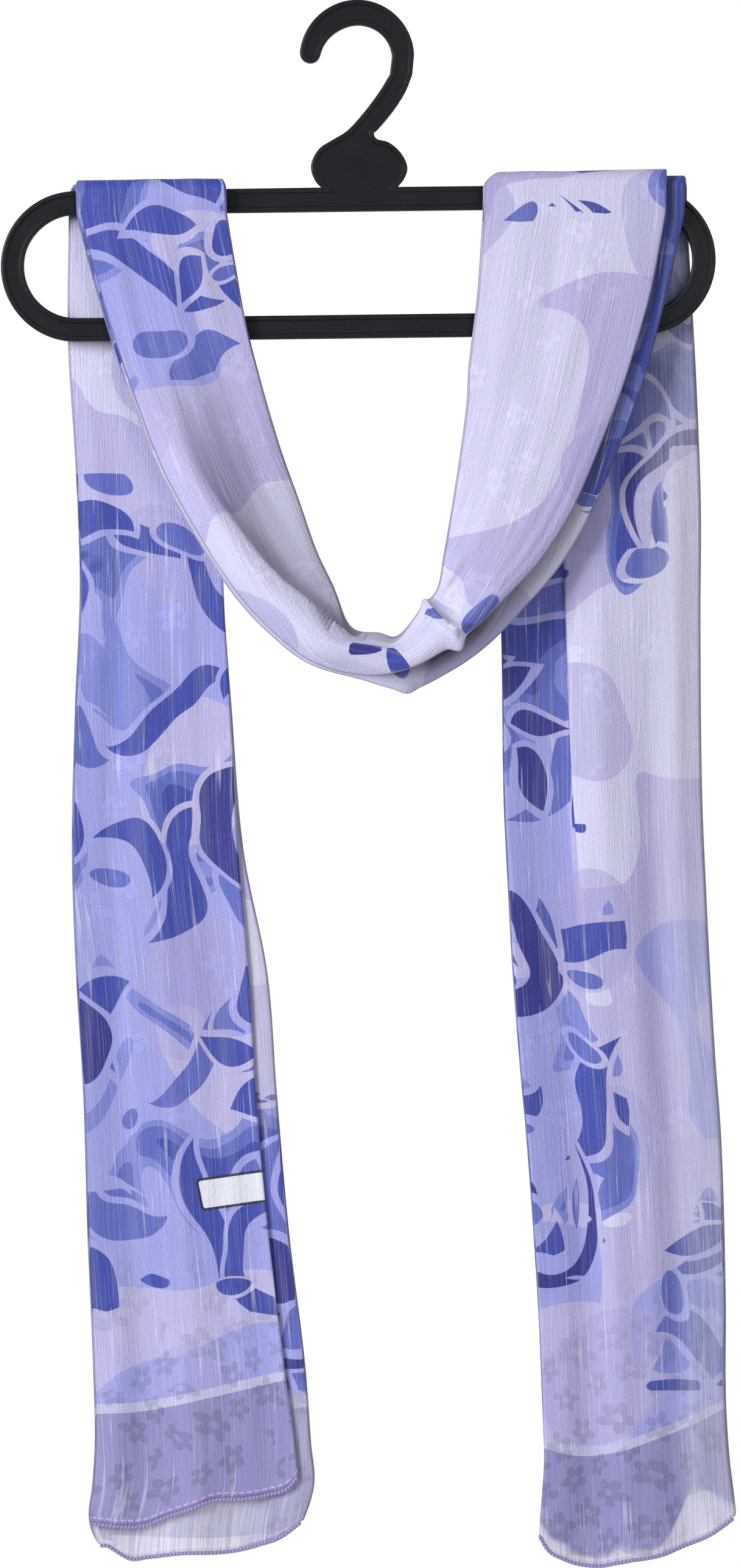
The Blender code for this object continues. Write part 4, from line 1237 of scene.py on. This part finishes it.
def flourishes(finish, u, v, amount):
    """Strokes bent like an S, thick in the middle."""
    x, y, chance, _ = finish.scattered(u + 21.0, v + 33.0, FLOURISH_CELL, seed=7.9, jitter=6.0)
    bent = y - finish.calc("SINE", x * (math.pi / FLOURISH_REACH)) * FLOURISH_BEND
    end = x / FLOURISH_REACH
    half = finish.calc("MAXIMUM", FLOURISH_HALF - end * end * FLOURISH_TAPER, THINNEST)
    bold = vigour(finish, amount, chance * 0.75 + 0.2)
    return drawn(bold, half, abs(bent) * 0.8), chance


def drops(finish, u, v, amount):
    """Small leaf-like dabs, fewer where the print is thin and where it is dense."""
    x, y, chance, turn = finish.scattered(u + 31.0, v + 19.0, DROP_CELL, seed=9.4, jitter=8.0)
    radius, _ = finish.polar(x, y * 0.5)
    sparse = finish.calc("MINIMUM", amount * 1.5, 1.5 - amount)
    bold = vigour(finish, sparse, chance * 0.7 + 0.05)
    return drawn(bold, turn * DROP_MORE + DROP_HALF, radius), chance


def patches(finish, u, v, amount):
    """Rounded patches with wandering edges."""
    field = finish.noise(u / 36.0, v / 42.0, 0.4, 0.6)
    return (field - (0.91 - amount * 0.32)) * 80.0


def discs(finish, u, v):
    """Large faint discs, a little longer than wide."""
    x, y, chance, turn = finish.scattered(u + 40.0, v + 15.0, DISC_CELL, seed=2.6, jitter=12.0)
    radius, angle = finish.polar(x, y)
    lobed = radius - finish.calc("COSINE", angle * 2.0) * 5.0
    return finish.above(turn * 12.0 + 20.0, lobed, 0.4) * finish.above(chance, DISC_SHARE, 0.02)


def blossoms(finish, u, v, amount):
    """Woven flowers of five oval petals in a twill of their own."""
    sway = finish.noise(u / 26.0, v / 26.0, 0.0)
    across = u * 0.88 + v * 0.47 + sway * 11.0
    down = v * 0.88 - u * 0.47 - sway * 9.0
    x, y, chance, turn = finish.scattered(across, down, BLOSSOM_CELL, seed=1.3, jitter=2.6)
    size = turn * 0.35 + 0.85
    radius, angle = finish.polar(x / size, y / size)
    petal = finish.calc("FRACT", angle * (PETALS / math.tau) + 5.0)
    sector = (petal - 0.5) * (math.tau / PETALS)
    along, side = (radius - PETAL_AT) / PETAL_LENGTH, radius * sector / PETAL_WIDTH
    inside = 1.0 - (along * along + side * side)
    hatch = finish.calc("SINE", (u * 0.8 + v) * 5.6) * 0.27 + 0.75
    return finish.above(inside, 0.0, 0.3) * hatch * finish.above(amount, chance, 0.02)


def printed_colour(finish, u, v, paint):
    """The print: a ground of three tones with faint discs, under five kinds of motif."""
    amount, tone = paint["print"], paint["tone"]
    broad = finish.noise(u / 88.0, v / 105.0, 0.6, 0.6)
    ground = finish.mix(finish.above((broad + tone - PALE_LEVEL) * TONE_EDGE), PALE, LILAC)
    ground = finish.mix(finish.above((broad + tone - LILAC_LEVEL) * TONE_EDGE), ground, PERIWINKLE)
    ground = finish.mix(discs(finish, u, v) * DISC_STRENGTH, ground, DISC_LILAC)
    ground = finish.mix(finish.above(amount, SOLID_LEVEL, 0.1), ground, ROYAL)
    drawn_u, drawn_v = warped(finish, u / MOTIF_SCALE, v / MOTIF_SCALE)
    depth = patches(finish, drawn_u, drawn_v, amount)
    colour = ground
    for ring, ink in PATCH_RINGS:
        colour = finish.mix(finish.above(depth, ring), colour, ink)
    for motif, low, high, margin in (
        (flourishes, ROYAL, MID_BLUE, 2.2),
        (crescents, MID_BLUE, ROYAL, 2.4),
        (scrolls_and_fans, ROYAL, NAVY, 3.0),
        (drops, MID_BLUE, ROYAL, 1.6),
    ):
        depth, number = motif(finish, drawn_u, drawn_v, amount)
        colour = finish.mix(finish.above(depth, -margin), colour, ground)
        ink = finish.mix(finish.above(number, 0.5, 0.02), low, high)
        colour = finish.mix(finish.above(depth), colour, ink)
    return colour


def bordered(finish, u, v, colour, paint):
    """The plain band along each hem with its pale line and stitches, and the bare name plate."""
    colour = finish.mix(finish.above(0.0, paint["over_band"]), colour, BAND_LILAC)
    pale_line = finish.above(PALE_LINE_HALF, abs(paint["over_band"]))
    colour = finish.mix(pale_line, colour, PALE_LINE)
    row = finish.above(HEM_STITCH_HALF, abs(paint["over_hem"] - HEM_STITCH_UP))
    dash = finish.above(finish.calc("SINE", u * (math.tau / HEM_STITCH_PITCH)), -0.5)
    colour = finish.mix(row * dash, colour, STITCH_PINK)
    x, y = finish.turned(finish.vector(u - PLATE_U, v - PLATE_V), -PLATE_TURN)
    over_x = finish.calc("MAXIMUM", abs(x) - (PLATE_HALF_U - PLATE_CORNER), 0.0)
    over_y = finish.calc("MAXIMUM", abs(y) - (PLATE_HALF_V - PLATE_CORNER), 0.0)
    outside = finish.calc("SQRT", over_x * over_x + over_y * over_y)
    colour = finish.mix(finish.above(PLATE_CORNER, outside), colour, PLATE_EDGE)
    return finish.mix(finish.above(PLATE_CORNER - PLATE_RIM, outside), colour, PLATE_WHITE)


# The cloth's grains: how often each repeats for each millimetre across and along, and its detail.
CREPE, SLUB, THREAD = (1.5, 1.1, 3.0), (1.1, 0.026, 3.0), (2.6, 0.06, 1.0)
WEFT, CLUSTER_SIZE = (0.5, 0.006, 0.0), 34.0
# How far the crowd of blossoms at a hem reaches up, in millimetres.
CROWD_REACH = 120.0
# How high the cloth's relief is, in metres, and how strongly it shows.
RELIEF, RELIEF_STRENGTH = 0.00028, 0.9


def cloth_finish(name, sheer):
    """Printed viscose jacquard: print, woven blossoms, crepe grain and lengthwise slubs, with painted
    shade, gleam and glints, and a painted glow where sheer cloth lets light through.
    """
    finish = Finish(name)
    u_metres, v_metres = finish.flat_place("cloth")
    u, v = u_metres * 1000.0, v_metres * 1000.0
    paint = {key: finish.field(finish.node("ShaderNodeAttribute", attribute_name=key), "Fac")
             for key in PAINT}
    near_hem = finish.calc("MULTIPLY_ADD", paint["over_band"], -1 / CROWD_REACH, 1.0, limited=True)
    clusters = finish.noise(u / CLUSTER_SIZE, v / CLUSTER_SIZE, 1.0)
    flowers = blossoms(finish, u, v, near_hem * 0.5 + clusters * 1.2 - 0.35)
    crepe, slub, thread, weft = (finish.grain(u, v, grain) for grain in (CREPE, SLUB, THREAD, WEFT))
    # Broad soft streaks of painted gleam.
    gleam = finish.noise(u / 9.0, v / 240.0 + 4.7, 2.0)
    broken = finish.noise(u * 0.45 + 9.0, v * 0.03, 1.0)
    fine_line = finish.above(0.02, abs(weft - 0.5), 0.02) * finish.above(broken, 0.44, 0.2)
    light, dark = finish.above(slub, 0.63, 0.1), finish.above(0.38, slub, 0.1)
    shade = 1.0 - flowers * (near_hem * 0.42 - 0.12)
    shade = shade * (0.81 + crepe * 0.28 + thread * 0.06) * (1.0 + light * 0.06 - dark * 0.04)
    # Painted shade inside folds, from the depth paint.
    shade = shade * (1.0 - paint["depth"] * 0.6)
    colour = bordered(finish, u, v, printed_colour(finish, u, v, paint), paint)
    shaded = finish.node("ShaderNodeHueSaturation", {"Color": colour, "Value": shade})
    # Pale slubs and fine lines are lighter yarn; the gleam streaks on top are a painted highlight.
    bright = light * 0.03 + fine_line * 0.28 + finish.above(gleam, 0.6, 0.2) * 0.05
    colour = finish.mix(bright, finish.field(shaded), PALE_THREAD_AND_GLEAM)
    # Sheer faces let light through by their alpha, and are also painted brighter: a painted glow of
    # light through the cloth, with painted glints along the slubs.
    if sheer:
        glint = finish.above(slub, 0.5, 0.3) * 0.36
        colour = finish.mix(paint["sheer"] * (0.36 + glint), colour, PALE_THREAD_AND_GLEAM)
        finish.surface({"Alpha": 1.0 - paint["sheer"] * (0.34 + slub * 0.3)})
    finish.surface({
        "Base Color": colour, "Roughness": 0.6 - flowers * 0.14 - light * 0.12, "Sheen Weight": 0.25,
        "Sheen Roughness": 0.35, "Sheen Tint": SHEEN_TINT, "Specular IOR Level": 0.45})
    relief = crepe * 1.2 + slub * 0.8 + thread * 0.3 + fine_line * 0.25 + flowers * 0.35
    finish.bump(relief, RELIEF, RELIEF_STRENGTH)
    return finish.material


def thread_finish():
    """Lilac overlock thread: slanted stitches with a pinkish one between."""
    finish = Finish("hem_thread_finish")
    along, turn = finish.flat_place("hem")
    wave = finish.calc("SINE", along * (2000.0 * math.pi / STITCH_PITCH) + turn) * 0.5 + 0.5
    fine = finish.noise(along * 9000.0, turn * 4.0, 2.0)
    colour = finish.mix(wave, rgb("827cb2"), rgb("bba9da"))
    colour = finish.mix(fine * 0.35, colour, rgb("6f69a6"))
    finish.surface({"Base Color": colour, "Roughness": 0.5 + fine * 0.25, "Sheen Weight": 0.25})
    finish.bump(wave + fine * 0.6, 0.0002)
    return finish.material


def plastic_finish():
    """Blue-black moulded plastic with an eggshell skin and a few dull patches."""
    finish = Finish("hanger_plastic_finish")
    grain, haze = finish.solid_noise(1500.0, 2.0), finish.solid_noise(38.0, 3.0)
    colour = finish.mix(haze, rgb("0f1114"), rgb("1a1d23"))
    colour = finish.mix(finish.above(grain, 0.66, 0.1) * 0.25, colour, rgb("3c4049"))
    finish.surface({"Base Color": colour, "Roughness": 0.24 + haze * 0.16 + grain * 0.08,
                    "Specular IOR Level": 0.3})
    finish.bump(grain + haze * 0.5, 0.00006)
    return finish.material


def floor_finish():
    """A plain pale floor, faintly mottled."""
    finish = Finish("studio_floor_finish")
    colour = finish.mix(finish.solid_noise(3.0, 2.0), rgb("eeeef2"), rgb("f8f8fa"))
    finish.surface({"Base Color": colour, "Roughness": 0.9})
    return finish.material


# ---- operators ---------------------------------------------------------------------------------
class HangerSettings(bpy.types.PropertyGroup):
    rim: bpy.props.FloatProperty(
        name="Rim", description="Width of the raised rim, in metres", default=RIM * MM,
        unit="LENGTH", min=0.0005, max=0.004)
    recess: bpy.props.FloatProperty(
        name="Web Recess", description="How far the web lies under the rim, in metres",
        default=WEB_RECESS * MM, unit="LENGTH", min=0.0002, max=0.002)
    round_steps: bpy.props.IntProperty(
        name="Round Steps", description="Steps round each end of the hanger's loop", default=48,
        min=12, max=96)


class StageSettings(bpy.types.PropertyGroup):
    distance: bpy.props.FloatProperty(
        name="Camera Distance", description="How far the camera stands from the scarf, in metres",
        default=3.6, unit="LENGTH", min=1.0, max=10.0)
    key_power: bpy.props.FloatProperty(
        name="Key Light", description="Power of the large soft light on the left, in watts",
        default=38.0, unit="POWER", min=0.0, max=500.0)
    fill_power: bpy.props.FloatProperty(
        name="Fill Light", description="Power of the soft light on the right, in watts",
        default=11.0, unit="POWER", min=0.0, max=500.0)
    back_power: bpy.props.FloatProperty(
        name="Back Light", description="Power of the soft light behind the scarf, in watts",
        default=26.0, unit="POWER", min=0.0, max=500.0)
    backdrop: bpy.props.FloatVectorProperty(
        name="Backdrop", description="Colour of the plain studio backdrop", subtype="COLOR",
        default=(1.0, 1.0, 1.0), min=0.0, max=1.0)


class SCARF_OT_hanger(bpy.types.Operator):
    """Build the flat plastic hanger with hook, paddle and loop"""
    bl_idname = "scarf.hanger"
    bl_label = "Hanger"

    def execute(self, context):
        settings = context.scene.scarf_hanger
        mesh = hanger_mesh(settings.round_steps, settings.rim / MM, settings.recess / MM)
        piece = add_piece("hanger_moulding", mesh, [plastic_finish()])
        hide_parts("hanger")
        return {"FINISHED"}


class SCARF_OT_cloth(bpy.types.Operator):
    """Build the folded scarf: its two tails and the loop in front"""
    bl_idname = "scarf.cloth"
    bl_label = "Folded Scarf"

    def execute(self, context):
        finishes = [cloth_finish("printed_jacquard", False), cloth_finish("sheer_jacquard", True)]
        stations = len(SWAG_STATIONS)
        for name, lines, rows, place_of, nodes, flat, held, rests_on in (
            ("scarf_loop", SWAG_LINES, stations, swag_point,
             ("left_shoulder", "left_limb", "loop_bottom", "right_limb", "right_shoulder"),
             (0.200, 0.62), "draped", ["hanger_moulding"]),
            ("scarf_left_tail", TAIL_LINES, TAIL_ROWS, left_point, ("left_tail",),
             (0.235, 0.60), "hung", ["scarf_loop"]),
            ("scarf_right_tail", TAIL_LINES, TAIL_ROWS, right_point, ("right_tail",),
             (0.260, 0.61), "hung", ["scarf_loop"]),
        ):
            piece = cloth_piece(name, cloth_mesh(name, lines, rows, place_of), finishes)
            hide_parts(*nodes)
            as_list(rests_on)
        return {"FINISHED"}


class SCARF_OT_hems(bpy.types.Operator):
    """Build the rolled, overlocked hems that show"""
    bl_idname = "scarf.hems"
    bl_label = "Rolled Hems"

    def execute(self, context):
        finish = thread_finish()
        for node, form, layer in (("left_front_hem", LEFT_FORM, 0), ("left_under_hem", LEFT_FORM, 1),
                                  ("right_hem", RIGHT_FORM, 0)):
            name = node + "_roll"
            piece = add_piece(name, hem_mesh(name, form, layer), [finish])
            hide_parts(node)
        return {"FINISHED"}


# The picture's size and where the origin is in it, in its own pixels.
FRAME_WIDTH, FRAME_HEIGHT = 1215, 2576
ORIGIN_X, ORIGIN_Y = 589.0, 41.5
MM_PER_PIXEL = 0.275
SENSOR = 36.0
# The rest of the stage is in metres; each soft light has a place, and a width and height.
LIGHTS = {
    "key": ((-1.5, -1.2, 0.25), (0.7, 1.1)),
    "fill": ((1.1, -2.0, 0.1), (1.2, 1.6)),
    "back": ((0.9, 2.0, 0.3), (1.2, 1.6)),
}
FLOOR_DROP, FLOOR_RADIUS, FLOOR_SIDES = 0.06, 0.5, 96
# How strongly the backdrop lights the scene; the camera sees it at full strength.
SKY_LIGHT = 0.26


def soft_light(name, location, target, size, power):
    """A broad light that faces its target, with its power in watts."""
    data = bpy.data.lights.new(name, "AREA")
    data.shape = "RECTANGLE"
    data.size, data.size_y = size
    data.energy = power
    light = bpy.data.objects.new(name, data)
    light.location = location
    light.rotation_euler = (Vector(target) - Vector(location)).to_track_quat("-Z", "Y").to_euler()
    bpy.context.scene.collection.objects.link(light)


class SCARF_OT_stage(bpy.types.Operator):
    """Set up the pale floor, the soft lights, the backdrop and the camera"""
    bl_idname = "scarf.stage"
    bl_label = "Studio Stage"

    def execute(self, context):
        settings = context.scene.scarf_stage
        middle_x = (FRAME_WIDTH / 2 - ORIGIN_X) * MM_PER_PIXEL * MM
        middle_z = (ORIGIN_Y - FRAME_HEIGHT / 2) * MM_PER_PIXEL * MM
        middle = (middle_x, 0.0, middle_z)
        data = bpy.data.cameras.new("camera")
        data.sensor_width = SENSOR
        data.lens = SENSOR * settings.distance / (FRAME_HEIGHT * MM_PER_PIXEL * MM)
        camera = bpy.data.objects.new("camera", data)
        camera.location = (middle_x, -settings.distance, middle_z)
        camera.rotation_euler = (math.pi / 2, 0.0, 0.0)
        context.scene.collection.objects.link(camera)
        context.scene.camera = camera
        for name, (location, size) in LIGHTS.items():
            soft_light(name, location, middle, size, getattr(settings, name + "_power"))
        work = bmesh.new()
        bmesh.ops.create_circle(work, cap_ends=True, segments=FLOOR_SIDES, radius=FLOOR_RADIUS)
        bmesh.ops.translate(work, verts=work.verts, vec=(0.0, 0.0, CAD_BOX[0].z - FLOOR_DROP))
        mesh = finished_mesh("studio_floor", work)
        mesh.materials.append(floor_finish())
        floor = bpy.data.objects.new("studio_floor", mesh)
        context.scene.collection.objects.link(floor)
        world = bpy.data.worlds.new("studio")
        context.scene.world = world
        world.use_nodes = True
        nodes, links = world.node_tree.nodes, world.node_tree.links
        path, choice = nodes.new("ShaderNodeLightPath"), nodes.new("ShaderNodeMixShader")
        lit, seen = nodes["Background"], nodes.new("ShaderNodeBackground")
        for index, (sky, strength) in enumerate(((lit, SKY_LIGHT), (seen, 1.0)), 1):
            sky.inputs["Color"].default_value = (*settings.backdrop, 1.0)
            sky.inputs["Strength"].default_value = strength
            links.new(sky.outputs[0], choice.inputs[index])
        links.new(path.outputs["Is Camera Ray"], choice.inputs["Fac"])
        links.new(choice.outputs[0], nodes["World Output"].inputs["Surface"])
        context.scene.view_settings.view_transform = "Standard"
        return {"FINISHED"}


class SCARF_PT_panel(bpy.types.Panel):
    bl_idname = "SCARF_PT_panel"
    bl_label = "Hung Scarf"
    bl_space_type = "VIEW_3D"
    bl_region_type = "UI"
    bl_category = "Scarf"

    def draw(self, context):
        layout = self.layout
        for settings in (context.scene.scarf_hanger, context.scene.scarf_stage):
            for key in settings.__annotations__:
                layout.prop(settings, key)
        for operator in OPERATORS:
            layout.operator(operator.bl_idname)


OPERATORS = (SCARF_OT_hanger, SCARF_OT_cloth, SCARF_OT_hems, SCARF_OT_stage)
CLASSES = (HangerSettings, StageSettings, *OPERATORS, SCARF_PT_panel)


def register():
    for one in CLASSES:
        bpy.utils.register_class(one)
    bpy.types.Scene.scarf_hanger = bpy.props.PointerProperty(type=HangerSettings)
    bpy.types.Scene.scarf_stage = bpy.props.PointerProperty(type=StageSettings)


def unregister():
    del bpy.types.Scene.scarf_hanger
    del bpy.types.Scene.scarf_stage
    for one in reversed(CLASSES):
        bpy.utils.unregister_class(one)


def main():
    register()
    bpy.ops.scarf.hanger()
    bpy.ops.scarf.cloth()
    bpy.ops.scarf.hems()
    bpy.ops.scarf.stage()


if __name__ == "__main__":
    main()
